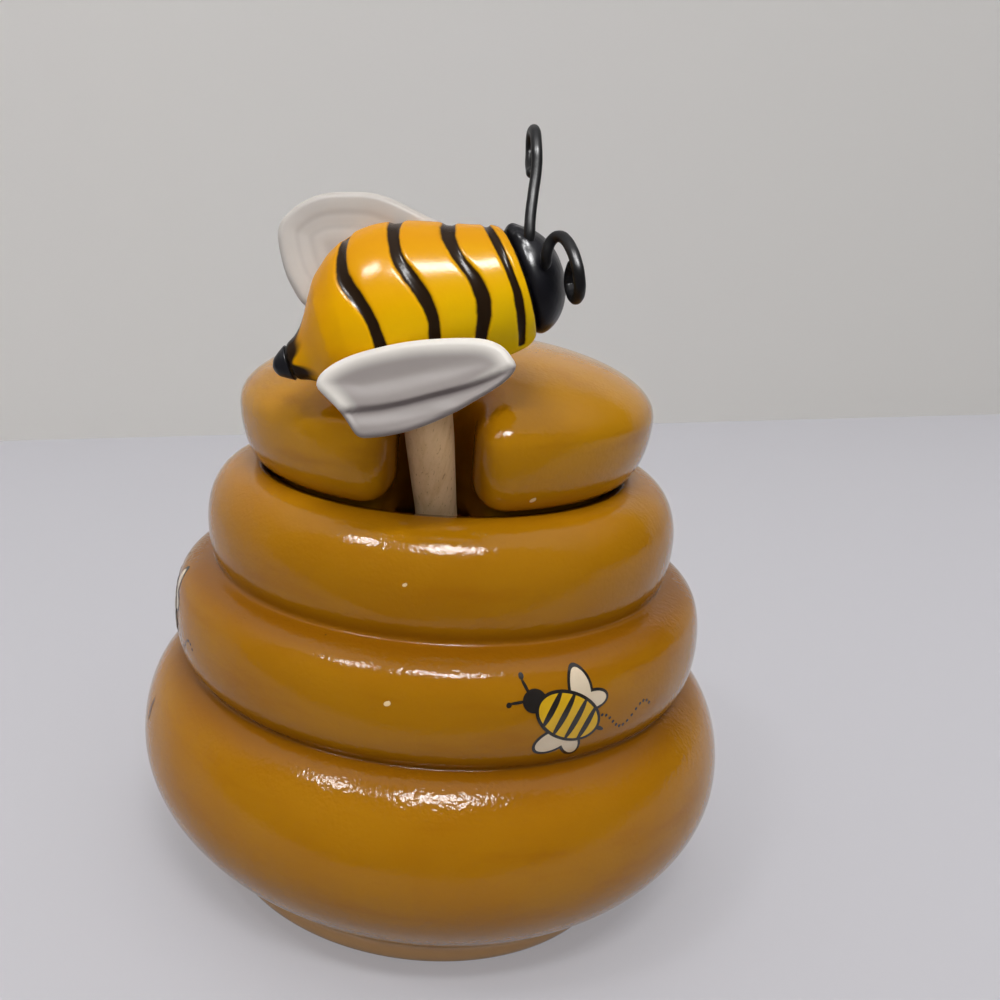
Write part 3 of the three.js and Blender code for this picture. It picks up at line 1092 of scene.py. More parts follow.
@dataclass
class Dipper:
    """The turned stick with its grooved head."""

    crossing: Triple = (0.5 * MM, -29.6 * MM, 85.3 * MM)
    lean: Pair = (-0.13, -0.18)
    neck_radius: float = 3.2 * MM
    rim_radius: float = 3.65 * MM
    lid_radius: float = 4.15 * MM
    lid_rise: float = 12.3 * MM
    top_radius: float = 4.3 * MM
    top_rise: float = 31.0 * MM
    head_radius: float = 12.4 * MM
    head_length: float = 23.0 * MM
    tip_radius: float = 5.5 * MM
    grooves: int = 6
    groove_depth: float = 4.2 * MM
    groove_width: float = 1.6 * MM
    floor: float = 6.2 * MM
    gap: float = 0.3 * MM
    chamfer: float = 0.6 * MM
    steps: int = 64

    def axis(self) -> Vector:
        """Return the direction of the stick, upwards."""
        return Vector((*self.lean, 1.0)).normalized()

    def tip(self) -> float:
        """Return the place of the tip along the axis, which is below the crossing.

        Returns:
            The place, which is negative.
        """
        upright = self.axis().z
        lift = self.tip_radius * math.sqrt(1 - upright**2)
        return -(self.crossing[2] - self.floor - self.gap - lift) / upright

    def outline(self) -> np.ndarray:
        """Return the outline from the tip to the top of the stick.

        Returns:
            Rows of radius and place along the axis.
        """
        low = self.tip()
        points = [(0.0, low), (self.tip_radius - self.chamfer, low)]
        pitch = self.head_length / (self.grooves + 1)
        for number in range(self.grooves + 1):
            start = low + pitch * number
            end = start + pitch - self.groove_width
            for place in np.linspace(start, end, 7):
                share = (place - low) / self.head_length
                swelling = math.sqrt(max(0.0, math.sin(math.pi * share)))
                edge = 1 - ((2 * (place - start) / (end - start) - 1) ** 4) * 0.03
                points.append(((self.tip_radius + (self.head_radius - self.tip_radius) * swelling) * edge, place))
            if number < self.grooves:
                depth = points[-1][0] - self.groove_depth
                points.extend(((depth, end + 0.1 * MM), (depth, start + pitch - 0.1 * MM)))
        neck, top = low + self.head_length, self.top_rise
        points += [
            (self.neck_radius + 0.5 * MM, neck + 0.3 * MM), (self.neck_radius, neck + 1.5 * MM),
            (self.rim_radius, 0.0), (self.lid_radius, self.lid_rise),
            (self.top_radius, top - self.chamfer), (self.top_radius - self.chamfer, top), (0.0, top),
        ]
        return np.array(points)

    def build(self, material: Material) -> Object:
        """Make the dipper's mesh and dress it in its wood.

        Args:
            material: Its finish.

        Returns:
            The dipper.
        """
        mesh = spun(softened(self.outline(), 0.3 * MM, 0.16 * MM), self.steps)
        turn = Vector((0.0, 0.0, 1.0)).rotation_difference(self.axis()).to_matrix().to_4x4()
        bmesh.ops.transform(mesh, matrix=Matrix.Translation(self.crossing) @ turn, verts=mesh.verts)
        return place_piece(finished(mesh, "turned_dipper", material), Body.DIPPER, Slot.WOOD, "honey_dipper")


# The bee


@dataclass
class Bee:
    """The painted bee: its frame has +X along the body to the head and +Z square to it, up."""

    tail: Triple = (-24.426 * MM, -35.047 * MM, 110.193 * MM)
    pitch: float = math.radians(21.4)
    length: float = 38.4 * MM
    radius: float = 13.3 * MM
    hump: float = 2.8 * MM
    sag: float = 0.3 * MM
    tail_radius: float = 3.1 * MM
    collar_radius: float = 9.1 * MM
    collar_tilt: float = 1.5 * MM
    head_radius: float = 8.7 * MM
    head_length: float = 7.2 * MM
    sting_length: float = 3.4 * MM
    groove_depth: float = 0.45 * MM
    groove_half: float = 0.95 * MM
    gap: float = 0.3 * MM
    girth_shares: Pairs = (
        (0.0, 0.233), (0.05, 0.29), (0.09, 0.375), (0.125, 0.49), (0.165, 0.64), (0.213, 0.8), (0.3, 0.93),
        (0.37, 0.975), (0.44, 1.0), (0.52, 0.995), (0.604, 0.97), (0.69, 0.93), (0.77, 0.885), (0.854, 0.83),
        (0.927, 0.775), (0.965, 0.745), (0.99, 0.7), (1.0, 0.66),
    )
    stripes: tuple[Pairs, ...] = (
        (
            (-2, 0.406), (15, 0.392), (38, 0.369), (52, 0.365), (64, 0.385), (76, 0.412), (88, 0.43), (100, 0.43),
            (130, 0.42),
        ),
        (
            (-12, 0.615), (10, 0.607), (38, 0.593), (54, 0.592), (68, 0.62), (83, 0.65), (99, 0.66), (113, 0.636),
            (140, 0.61),
        ),
        (
            (-24, 0.81), (7, 0.809), (36, 0.796), (56, 0.813), (72, 0.85), (90, 0.862), (106, 0.842), (122, 0.803),
            (145, 0.78),
        ),
        (
            (-34, 0.93), (0, 0.945), (26, 0.958), (47, 0.971), (70, 0.983), (91, 0.989), (110, 0.98), (131, 0.961),
            (150, 0.945),
        ),
    )
    collar_groove_share: float = 0.62
    groove_waver: float = 0.12
    groove_edge: Pair = (1.55, 0.35)
    groove_start: Pair = (2.0 * MM, 5.0 * MM)
    smear: Triple = (0.075, 0.035, 0.02)
    # how strongly painted light lifts the front and the underside
    olive_and_light_shares: Pair = (0.25, 0.75)
    # how strongly painted shade darkens the back and the tail end turns orange
    amber_and_shade_share: float = 0.85
    head_lump: float = 0.12 * MM
    sting_lump: float = 0.06 * MM
    tuft_spread: Pair = (4.5, 0.12)
    tuft: tuple[Triple, ...] = (
        (2, 0.2, 0.45), (13, 0.12, 0.6), (23, 0.22, 0.5), (33, 0.15, 0.55), (43, 0.25, 0.4),
    )
    steps: int = 300
    quick_steps: int = 120

    def place(self) -> Matrix:
        """Return the matrix from the bee's frame to the jar's."""
        return Matrix.Translation(self.tail) @ Matrix.Rotation(-self.pitch, 4, "Y")

    def lying(self, mesh: BMesh) -> np.ndarray:
        """Turn a spun mesh so that its axis is the bee's, and return its places."""
        bmesh.ops.transform(mesh, matrix=Matrix.Rotation(math.pi / 2, 4, "Y"), verts=mesh.verts)
        return vertex_places(mesh)

    @staticmethod
    def around(places: np.ndarray) -> tuple[np.ndarray, np.ndarray]:
        """Return each place's distance from the bee's axis and its angle in degrees, 0 on the back."""
        return np.hypot(places[:, 1], places[:, 2]), np.degrees(np.arctan2(-places[:, 1], places[:, 2]))

    def dressed(
        self, mesh: BMesh, name: str, material: Material, slot: Slot, node: str,
        masks: Masks | None = None, within: Matrix = Matrix(),
    ) -> Object:
        """Set a mesh in the bee's frame, dress it and let it ride on the dipper.

        Args:
            mesh: The mesh, which is freed.
            name: The piece's name.
            material: Its finish.
            slot: The record's slot of its finish.
            node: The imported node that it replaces.
            masks: Values per vertex that the finish reads, by name.
            within: The mesh's place in the bee's frame.

        Returns:
            The piece.
        """
        bmesh.ops.transform(mesh, matrix=self.place() @ within, verts=mesh.verts)
        return place_piece(finished(mesh, name, material, masks), Body.DIPPER, slot, node)

    def raised(self, along: np.ndarray) -> np.ndarray:
        """Return how far the back is humped at each place along the body."""
        share = np.clip(along / self.length, 0.0, 1.0)
        return self.hump * np.sin(math.pi * share) ** 2 - self.sag * (1 - share) ** 4

    def stripe_depth(self, along: np.ndarray, angle: np.ndarray, girth: np.ndarray) -> np.ndarray:
        """Return how deep in a groove each place lies, from 0 to 1.

        Args:
            along: Place along the body.
            angle: Degrees about the body, 0 on the back and positive on the near side.
            girth: Radius of the body there.

        Returns:
            1 on a groove's centre line and 0 outside it.
        """
        depth = np.zeros(along.shape)
        for table in self.stripes:
            line = softened(np.array(table, dtype=float), 2.0, 4.5)
            centre = np.interp(angle, line[:, 0], line[:, 1]) * self.length
            slope = np.interp(angle, line[:, 0], np.gradient(line[:, 1], line[:, 0])) * self.length
            slope = slope / np.maximum(girth * math.pi / 180, 1e-5)
            beyond = np.maximum(np.maximum(line[0, 0] - angle, angle - line[-1, 0]), 0.0)
            apart = np.hypot((along - centre) / np.sqrt(1 + slope**2), girth * np.radians(beyond))
            phase = 60 * len(table) + table[0][0] * 9
            waver = 1 + self.groove_waver * np.sin(np.radians(angle * 5.3 + phase))
            share = self.collar_groove_share if table is self.stripes[-1] else 1.0
            depth = np.maximum(depth, eased(*self.groove_edge, apart / (self.groove_half * waver * share)))
        return depth

    def build_body(self, material: Material) -> Object:
        """Make the humped egg with its wavy grooves.

        Args:
            material: Its finish.

        Returns:
            The piece.
        """
        shares = np.array(self.girth_shares)
        line = np.column_stack((shares[:, 1] * self.radius, shares[:, 0] * self.length))
        line = softened(np.vstack(([(0.0, 0.0)], line, [(0.0, self.length)])), 0.26 * MM, 0.45 * MM)
        mesh = spun(line, self.steps)
        places = self.lying(mesh)
        along = places[:, 0]
        girth, angle = self.around(places)
        share = along / self.length
        flank = -places[:, 1] / np.maximum(girth, 1e-6)
        tilted = along + self.collar_tilt * flank * eased(0.7, 1.0, share) * (girth / self.collar_radius)
        depth = self.stripe_depth(tilted, angle, girth) * eased(*self.groove_start, girth)
        inward = 1 - self.groove_depth * depth / np.maximum(girth, 1e-6)
        put_vertices(mesh, np.column_stack((
            tilted, places[:, 1] * inward, places[:, 2] * inward + self.raised(along)
        )))
        aside = np.abs(angle)
        mean, broad, fine = self.smear
        smear = mean + broad * np.sin(np.radians(angle * 3 + 20)) + fine * np.sin(np.radians(angle * 7))
        fore, under = self.olive_and_light_shares
        olive_and_painted_light = fore * eased(0.5, 0.85, share) + under * eased(70, 135, aside) * eased(0.25, 0.6, share)
        tail_end = eased(0.5, 0.1, share) * (1 - 0.5 * eased(40, 110, aside))
        masks = {
            "stripe": np.clip(np.maximum(depth, eased(0.985, 0.998, share)), 0.0, 1.0),
            "soot": eased(1.6, 0.1, share / smear),
            # painted light below and towards the collar, with their greener tone
            "olive_and_painted_light": np.clip(olive_and_painted_light, 0.0, 1.0),
            # painted shade on the back, and the orange tail end
            "amber_and_painted_shade": self.amber_and_shade_share * np.maximum(tail_end, eased(95, 30, aside)),
        }
        return self.dressed(mesh, "striped_body", material, Slot.YELLOW, "bee_body", masks)

    def build_head(self, material: Material) -> Object:
        """Make the black head: a lumpy dome with a low tuft behind the antennae.

        Args:
            material: Its finish.

        Returns:
            The piece.
        """
        start = self.length + self.gap
        dome = swell((0.0, self.length + self.head_length), (self.head_radius, start + 0.6 * MM), 1.0)[::-1]
        line = np.vstack(([(0.0, start), (self.head_radius - 0.5 * MM, start)], dome))
        mesh = spun(softened(line, 0.3 * MM, 0.3 * MM), 96)
        places = self.lying(mesh)
        girth, angle = self.around(places)
        ahead = (places[:, 0] - start) / self.head_length
        lumps = self.head_lump * np.sin(np.radians(angle * 5 + 40)) * np.sin(7 * ahead + 1.0)
        round_it, along_it = self.tuft_spread
        tuft = sum(
            height * MM * bell(angle, turn, round_it) * bell(ahead, place, along_it)
            for turn, place, height in self.tuft
        )
        grown = 1 + (lumps * eased(0.0, 0.3, girth / self.head_radius) + tuft) / np.maximum(girth, 1 * MM)
        tilt = self.collar_tilt * (-places[:, 1] / self.collar_radius) * eased(1.0, 0.0, ahead)
        put_vertices(mesh, np.column_stack((places[:, 0] + tilt, places[:, 1] * grown, places[:, 2] * grown)))
        return self.dressed(mesh, "black_head", material, Slot.BLACK, "bee_head")

    def build_sting(self, material: Material) -> Object:
        """Make the blunt black stinger.

        Args:
            material: Its finish.

        Returns:
            The piece.
        """
        shares = ((0.0, 0.09), (1.0, 0.09), (0.74, 0.5), (0.52, 0.8), (0.2, 0.98), (0.0, 1.0))
        line = np.array([(size * self.tail_radius, -along * self.sting_length) for size, along in shares])
        mesh = spun(softened(line, 0.15 * MM, 0.2 * MM), 48)
        places = self.lying(mesh)
        lumps = self.sting_lump * np.sin(places[:, 0] * 2600) * np.sin(np.arctan2(places[:, 1], places[:, 2]) * 4)
        put_vertices(mesh, places + np.column_stack((0 * lumps, lumps, np.full(len(places), -self.sag))))
        bmesh.ops.recalc_face_normals(mesh, faces=mesh.faces)
        return self.dressed(mesh, "stinger", material, Slot.BLACK, "bee_stinger")

    def build(self, yellow: Material, black: Material) -> None:
        """Make the body, the head and the stinger.

        Args:
            yellow: The body's finish.
            black: The head's and the stinger's finish.
        """
        self.build_body(yellow)
        self.build_head(black)
        self.build_sting(black)


def edge_gaps(outline: np.ndarray, places: np.ndarray) -> np.ndarray:
    """Return how far each place lies from a closed outline in its plane.

    Args:
        outline: Rows of coordinates.
        places: Rows of coordinates.

    Returns:
        One distance per place.
    """
    gaps = np.full(len(places), np.inf)
    for start, end in zip(outline, np.roll(outline, -1, axis=0)):
        run = end - start
        part = np.clip(((places - start) @ run) / (run @ run), 0.0, 1.0)
        gaps = np.minimum(gaps, np.linalg.norm(places - start - part[:, None] * run, axis=1))
    return gaps


@dataclass
class Wing:
    """A rounded wing plate seated on the bee's flank."""

    name: str
    node: str
    root_shares: Triple
    turn: float
    chord: float
    outline_shares: Pairs
    facing: float
    length: float = 29.3 * MM
    thickness: float = 2.4 * MM
    fold_shares: Pairs = ()
    fold_depth: float = 0.8 * MM
    ridge_pitch: float = 2.3 * MM
    dish: float = 0.45 * MM
    dish_edge: Pair = (1.2 * MM, 5.5 * MM)
    fold_slope: Pair = (-0.15 * MM, 0.45 * MM)
    fold_run_out: Pair = (-1.0 * MM, -4.0 * MM)
    fold_rise: Pair = (0.8 * MM, 3.2 * MM)
    # painted shade on the face and on the sunk lobe beyond the fold, and a painted shadow along the fold
    fold_painted_shades: Triple = (0.82, 0.86, 0.18)
    ripple: float = 0.08 * MM
    ripple_rates: Pair = (900.0, 300.0)
    ridge_height: float = 0.02 * MM
    # painted shade all over, between the ridges and in the middle
    ridge_painted_shades: Triple = (0.42, 0.1, 0.3)

    def relief(self, across: np.ndarray, edge: np.ndarray) -> tuple[np.ndarray, np.ndarray]:
        """Work out the shown face's relief.

        Args:
            across: Rows of places in the wing's plane.
            edge: Distance of each from the outline.

        Returns:
            Heights over the flat plate, and how much painted shade each place gets.
        """
        height = -self.dish * eased(*self.dish_edge, edge)
        return self.folded(across, edge, height) if self.fold_shares else self.ridged(edge, height)

    def folded(self, across: np.ndarray, edge: np.ndarray, height: np.ndarray) -> tuple[np.ndarray, np.ndarray]:
        """Sink the part beyond the fold and ripple it, with painted shade on the face and beyond the fold and a
        painted shadow along it.

        Args:
            across: Rows of places in the wing's plane.
            edge: Distance of each from the outline.
            height: Heights of the dished plate.

        Returns:
            Heights over the flat plate, and how much painted shade each place gets.
        """
        line = softened(np.array(self.fold_shares) * (self.length, self.chord), 0.5 * MM, 1.5 * MM)
        below = across[:, 1] - np.interp(across[:, 0], line[:, 0], line[:, 1])
        inner = eased(*self.fold_slope, below)
        height = height * eased(*self.fold_run_out, below) * (1 - inner)
        height -= self.fold_depth * inner * (1 - 0.6 * eased(*self.fold_rise, below))
        quick, slow = self.ripple_rates
        waves = np.sin(across[:, 0] * quick + 2.0 * np.sin(across[:, 0] * slow))
        height += self.ripple * waves * eased(1.2 * MM, 2.5 * MM, below)
        outer_grey, inner_grey, fold_grey = self.fold_painted_shades
        crease = outer_grey * eased(0.9 * MM, 3.2 * MM, edge) * (1 - inner) + inner_grey * inner
        return height, crease + fold_grey * bell(below, 0.25 * MM, 0.55 * MM)

    def ridged(self, edge: np.ndarray, height: np.ndarray) -> tuple[np.ndarray, np.ndarray]:
        """Lay low ridges side by side along the outline, with painted shade all over, between them and in the middle.

        Args:
            edge: Distance of each place from the outline.
            height: Heights of the dished plate.

        Returns:
            Heights over the flat plate, and how much painted shade each place gets.
        """
        fade = eased(2.2 * MM, 3.2 * MM, edge) * eased(9.5 * MM, 5 * MM, edge)
        wave = np.cos(2 * math.pi * edge / self.ridge_pitch)
        all_over, between_ridges, middle = self.ridge_painted_shades
        crease = all_over + between_ridges * np.clip(-wave, 0, 1) * fade + middle * eased(6.5 * MM, 10 * MM, edge)
        return height + self.ridge_height * wave * fade, crease

    def spread_out(self, outline: np.ndarray, ball: np.ndarray) -> np.ndarray:
        """Return a ball's places spread over the wing's plane, its rim on the outline.

        Args:
            outline: Rows of coordinates in the wing's plane.
            ball: Rows of coordinates on a ball of radius 1.

        Returns:
            Rows of coordinates in the wing's plane.
        """
        centre = np.array((0.5 * self.length, 0.5 * self.chord))
        spokes = outline - centre
        bearing = np.unwrap(np.arctan2(spokes[:, 1], spokes[:, 0])) % (2 * math.pi)
        order = np.argsort(bearing)
        angle = np.arctan2(ball[:, 1], ball[:, 0]) % (2 * math.pi)
        reach = np.hypot(spokes[:, 0], spokes[:, 1])
        limit = np.interp(angle, bearing[order], reach[order], period=2 * math.pi)
        share = np.hypot(ball[:, 0], ball[:, 1])
        return centre + np.column_stack((np.cos(angle), np.sin(angle))) * (limit * share)[:, None]

    def build(self, bee: Bee, material: Material) -> Object:
        """Make the wing from a flattened ball and dress it.

        Args:
            bee: The bee that carries it.
            material: The white paint.

        Returns:
            The wing.
        """
        mesh = bmesh.new()
        bmesh.ops.create_uvsphere(mesh, u_segments=160, v_segments=96, radius=1.0)
        ball = vertex_places(mesh)
        outline = closed_curve(self.outline_shares) * (self.length, self.chord)
        across = self.spread_out(outline, ball)
        gaps = edge_gaps(outline, across)
        half = self.thickness / 2
        curve = half * np.sqrt(np.clip(1 - (1 - np.minimum(gaps, half) / half) ** 2, 0.0, 1.0))
        height, crease = self.relief(across, gaps)
        shown = ball[:, 2] * self.facing > 0
        lift = np.where(shown, curve + height * eased(0.0, half, gaps), curve)
        side = np.where(np.abs(ball[:, 2]) < 1e-6, 0.0, np.sign(ball[:, 2]))
        put_vertices(mesh, np.column_stack((across, side * lift)))
        bmesh.ops.recalc_face_normals(mesh, faces=mesh.faces)
        ahead, outward, above = self.root_shares
        root = Matrix.Translation((ahead * bee.length, -outward * bee.radius, above * bee.radius))
        turn = Matrix.Rotation(math.radians(self.turn), 4, "X") @ Matrix.Rotation(math.pi / 2, 4, "X")
        # painted shade on the shown face
        masks = {"crease": np.where(shown, crease, 0.0)}
        return bee.dressed(mesh, self.name, material, Slot.WHITE, self.node, masks, root @ turn)


@dataclass
class Antenna:
    """A bent black wire that stands in the head and ends in a curl."""

    name: str
    node: str
    base_shares: Triple
    leave_shares: Triple
    place_shares: tuple[Triple, ...]
    reach: float
    radius: float = 0.85 * MM
    socket: float = 2.4 * MM
    rounded_steps: int = 4

    def path(self, bee: Bee) -> np.ndarray:
        """Return the wire's centre line in the bee's frame.

        Args:
            bee: The bee that carries it.

        Returns:
            Rows of coordinates.
        """
        up = np.array(self.leave_shares) / np.linalg.norm(self.leave_shares)
        ahead, aside, above = self.base_shares
        base = np.array((bee.length + ahead * bee.head_length, aside * bee.head_radius, above * bee.head_radius))
        points = [base - up * self.socket, base, base + up * self.radius]
        points += [base + np.array(place) * self.reach for place in self.place_shares]
        return softened(np.array(points), 0.3 * MM, 0.5 * MM)

    def build(self, bee: Bee, material: Material) -> Object:
        """Make the wire and dress it.

        Args:
            bee: The bee that carries it.
            material: The black wire's finish.

        Returns:
            The antenna.
        """
        curve = bpy.data.curves.new(self.name, "CURVE")
        curve.dimensions = "3D"
        curve.bevel_depth = self.radius
        curve.bevel_resolution = 6
        curve.use_fill_caps = True
        spline = curve.splines.new("POLY")
        points = [bee.place() @ Vector(point) for point in self.path(bee)]
        spline.points.add(len(points) - 1)
        for number, (target, point) in enumerate(zip(spline.points, points)):
            left = (len(points) - 1 - number) / self.rounded_steps
            target.co = (*point, 1.0)
            target.radius = math.sqrt(max(0.05, 1 - max(0.0, 1 - left) ** 2))
        mesh = drawn_mesh(in_scene(self.name, curve))
        tidied(mesh, 1e-7)
        return place_piece(finished(mesh, self.name, material), Body.DIPPER, Slot.WIRE, self.node)


WINGS = (
    Wing(
        "near_wing", "right_wing", (0.144, 1.015, -0.068), 160.0, 13.6 * MM,
        (
            (0, 0.19), (0.03, 0.1), (0.095, 0.04), (0.2, 0), (0.35, 0.01), (0.53, 0.06), (0.69, 0.145),
            (0.85, 0.257), (0.925, 0.351), (0.969, 0.456), (0.989, 0.572), (1, 0.665), (0.974, 0.748),
            (0.895, 0.829), (0.773, 0.894), (0.65, 0.956), (0.505, 0.996), (0.376, 1), (0.261, 0.971),
            (0.159, 0.923), (0.126, 0.854), (0.105, 0.697), (0.077, 0.538), (0.037, 0.382), (0.005, 0.253),
        ),
        facing=-1.0,
        fold_shares=(
            (0.0, 0.5), (0.077, 0.545), (0.14, 0.575), (0.27, 0.645), (0.42, 0.684), (0.57, 0.7), (0.73, 0.724),
            (0.84, 0.716), (1.0, 0.675),
        ),
    ),
    Wing(
        "far_wing", "left_wing", (0.083, -0.15, 0.451), -15.0, 18.0 * MM,
        (
            (0, 0.55), (0.01, 0.3), (0.08, 0.04), (0.35, 0), (0.7, 0.04), (0.98, 0.22), (0.86, 0.45),
            (0.65, 0.79), (0.47, 0.93), (0.3, 1), (0.14, 0.96), (0.03, 0.83),
        ),
        facing=1.0,
    ),
)
ANTENNAE = (
    Antenna(
        "near_antenna", "right_antenna", (0.58, -0.8, 0.21), (0.65, -0.74, 0.2),
        (
            (0.12, -0.25, 0.23), (0.23, -0.23, 0.39), (0.36, -0.27, 0.47), (0.47, -0.44, 0.43),
            (0.52, -0.7, 0.31), (0.54, -0.98, 0.12), (0.53, -1.15, -0.15), (0.49, -1.1, -0.42),
            (0.44, -0.88, -0.61), (0.38, -0.61, -0.71), (0.35, -0.33, -0.66), (0.36, -0.11, -0.49),
            (0.42, -0.13, -0.29), (0.5, -0.31, -0.13), (0.53, -0.51, -0.08),
        ),
        8.0 * MM,
    ),
    Antenna(
        "far_antenna", "left_antenna", (0.45, -0.6, 0.67), (0.49, -0.23, 0.84),
        (
            (0.06, 0.02, 0.15), (0.11, 0.07, 0.27), (0.19, 0.15, 0.44), (0.25, 0.2, 0.56),
            (0.3, 0.24, 0.68), (0.33, 0.27, 0.78), (0.36, 0.37, 0.89), (0.38, 0.48, 0.96),
            (0.38, 0.61, 1.0), (0.36, 0.72, 0.98), (0.33, 0.79, 0.9), (0.3, 0.79, 0.8),
            (0.26, 0.71, 0.7), (0.24, 0.58, 0.62), (0.23, 0.45, 0.59),
        ),
        15.3 * MM,
    ),
)


# Prints and marks on the glaze


@dataclass
class Blot:
    """A flat oval of ink or bare clay that follows the glaze."""

    across: float
    up: float
    long: float
    wide: float
    turn: float = 0.0
    layer: int = 1


@dataclass
class Marks:
    """Ovals of one finish that lie on the pot or the lid, drawn from outside."""

    base: Pot | Lid
    azimuth: float
    height: float
    lift: float = 0.035 * MM
    grain: float = 0.35 * MM
    probe: float = 0.1 * MM

    def add(self, mesh: BMesh, blot: Blot) -> None:
        """Add an oval to a mesh.

        Args:
            mesh: The mesh that takes it.
            blot: The oval, placed from the middle of the marks.
        """
        count = max(5, round(2 * blot.long / self.grain))
        grid = bmesh.ops.create_grid(mesh, x_segments=count, y_segments=count, size=1.0)["verts"]
        for vert in grid:
            long = vert.co.x * math.sqrt(1 - vert.co.y**2 / 2) * blot.long
            wide = vert.co.y * math.sqrt(1 - vert.co.x**2 / 2) * blot.wide
            along = long * math.cos(blot.turn) - wide * math.sin(blot.turn)
            rise = long * math.sin(blot.turn) + wide * math.cos(blot.turn)
            vert.co = self.wrapped(blot.across + along, blot.up + rise, blot.layer)

    def wrapped(self, across: float, up: float, layer: int) -> Vector:
        """Return the place on the glaze of a point of the drawing.

        Args:
            across: Place round the glaze.
            up: Place up the glaze.
            layer: Number of its layer.

        Returns:
            The place in the jar's frame.
        """
        height = self.height + up
        radius = self.base.radius_at(height)
        angle = math.radians(self.azimuth) + across / self.base.radius_at(self.height)
        above, below = (self.base.radius_at(height + step) for step in (self.probe, -self.probe))
        slope = (above - below) / (2 * self.probe)
        outward = Vector((math.cos(angle), math.sin(angle), -slope)).normalized()
        return Vector((radius * math.cos(angle), radius * math.sin(angle), height)) + outward * (self.lift * layer)

    def build(self, name: str, blots: Sequence[Blot], finish: Finish) -> Object:
        """Make one piece of ovals and dress it.

        Args:
            name: The piece's name.
            blots: The ovals.
            finish: Their ink or clay.

        Returns:
            The piece.
        """
        mesh = bmesh.new()
        for blot in blots:
            self.add(mesh, blot)
        bmesh.ops.recalc_face_normals(mesh, faces=mesh.faces)
        for face in mesh.faces:
            centre = face.calc_center_median()
            if face.normal.dot(Vector((centre.x, centre.y, 0.0))) < 0:
                face.normal_flip()
        body = Body.LID if isinstance(self.base, Lid) else Body.JAR
        return place_piece(finished(mesh, name, finish.material()), body, Slot.GLAZE)


@dataclass
class BeePrint:
    """A plain printed bee seen from above, with a dotted wave behind it."""

    pot: Pot
    azimuth: float
    height: float = 56.3 * MM
    heading: float = math.radians(152)
    scale: float = 1.24
    middle: Pair = (-4.2 * MM, -0.5 * MM)
    belly: Pair = (5.5, 3.4)
    rim: float = 0.42
    band_places: tuple[float, ...] = (3.0, 0.9, -1.2, -3.2)
    dots: int = 15

    def spot(self, ahead: float, aside: float, long: float, wide: float, turn: float = 0.0, layer: int = 1) -> Blot:
        """Return an oval placed along and across the bee, in millimetres and degrees.

        Args:
            ahead: Place towards the head.
            aside: Place square to it.
            long: Half the oval's length.
            wide: Half its width.
            turn: Degrees that it is turned by.
            layer: Number of its layer.

        Returns:
            The oval.
        """
        cosine, sine = math.cos(self.heading), math.sin(self.heading)
        size = self.scale * MM
        across = self.middle[0] + (ahead * cosine - aside * sine) * size
        up = self.middle[1] + (ahead * sine + aside * cosine) * size
        return Blot(across, up, long * size, wide * size, self.heading + math.radians(turn), layer)

    @staticmethod
    def mirrored(ahead: float, aside: float, long: float, wide: float, turn: float = 0.0) -> list[tuple[float, ...]]:
        """Return an oval's numbers for both sides of the bee."""
        return [(ahead, side * aside, long, wide, side * turn) for side in (1, -1)]

    def trail(self) -> list[Blot]:
        """Return the dots of the wave behind the bee."""
        places = [1.6 + step * 0.92 for step in range(self.dots)]
        return [Blot(at * MM, (-3.2 + 1.7 * math.sin(at * 0.62)) * MM, 0.3 * MM, 0.3 * MM) for at in places]

    def build(self, number: int, finishes: FinishSet) -> None:
        """Make the print's black, white and yellow pieces.

        Args:
            number: The print's number.
            finishes: The finishes of the whole object.
        """
        long, wide = self.belly
        wings = self.mirrored(0.2, 3.9, 2.7, 1.5, 48) + self.mirrored(-2.4, 3.3, 2.2, 1.15, 150)
        feelers = self.mirrored(7.9, 1.1, 1.2, 0.22, 34) + self.mirrored(8.9, 1.95, 0.38, 0.38)
        black = [self.spot(*wing[:2], wing[2] + self.rim, wing[3] + self.rim, wing[4]) for wing in wings]
        black += [self.spot(0, 0, long, wide, 0, 3), self.spot(5.9, 0, 1.75, 1.6, 0, 3), self.spot(-5.9, 0, 0.9, 0.3)]
        black += [self.spot(*feeler) for feeler in feelers]
        black += [
            self.spot(ahead, 0, 3.35 * math.sqrt(1 - (ahead / long) ** 2), 0.46, 90, 5) for ahead in self.band_places
        ]
        white = [self.spot(*wing, 2) for wing in wings]
        yellow = [self.spot(0, 0, 5.0, 2.95, 0, 4)]
        marks = Marks(self.pot, self.azimuth, self.height)
        marks.build(f"print_{number}_black", black + self.trail(), finishes.ink)
        marks.build(f"print_{number}_white", white, finishes.ink_white)
        marks.build(f"print_{number}_yellow", yellow, finishes.ink_yellow)


PRINT_AZIMUTHS = (-57.5, -160.0, 74.0)


def build_marks(pot: Pot, lid: Lid, finishes: FinishSet) -> None:
    """Make the printed bees, the chips of the glaze and the gap in it.

    Args:
        pot: The pot.
        lid: The lid.
        finishes: The finishes of the whole object.
    """
    for number, azimuth in enumerate(PRINT_AZIMUTHS, start=1):
        BeePrint(pot, azimuth).build(number, finishes)
    chips = ((pot, -95.1, 58.2, 0.6), (pot, -94.0, 76.4, 0.42), (lid, -63.9, 88.6, 0.6))
    for number, (base, azimuth, height, size) in enumerate(chips, start=1):
        side = size * MM
        flakes = [Blot(0.0, 0.0, side, 0.7 * side, 0.4), Blot(0.5 * side, 0.3 * side, 0.6 * side, 0.4 * side, 2.0)]
        Marks(base, azimuth, height * MM).build(f"glaze_chip_{number}", flakes, finishes.chip)
    gap = [Blot(0.0, 0.0, 2.3 * MM, 0.7 * MM, 1.5), Blot(0.3 * MM, -1.2 * MM, 1.2 * MM, 0.6 * MM, 1.3)]
    Marks(pot, -157.5, 35.8 * MM).build("glaze_gap", gap, finishes.gap)


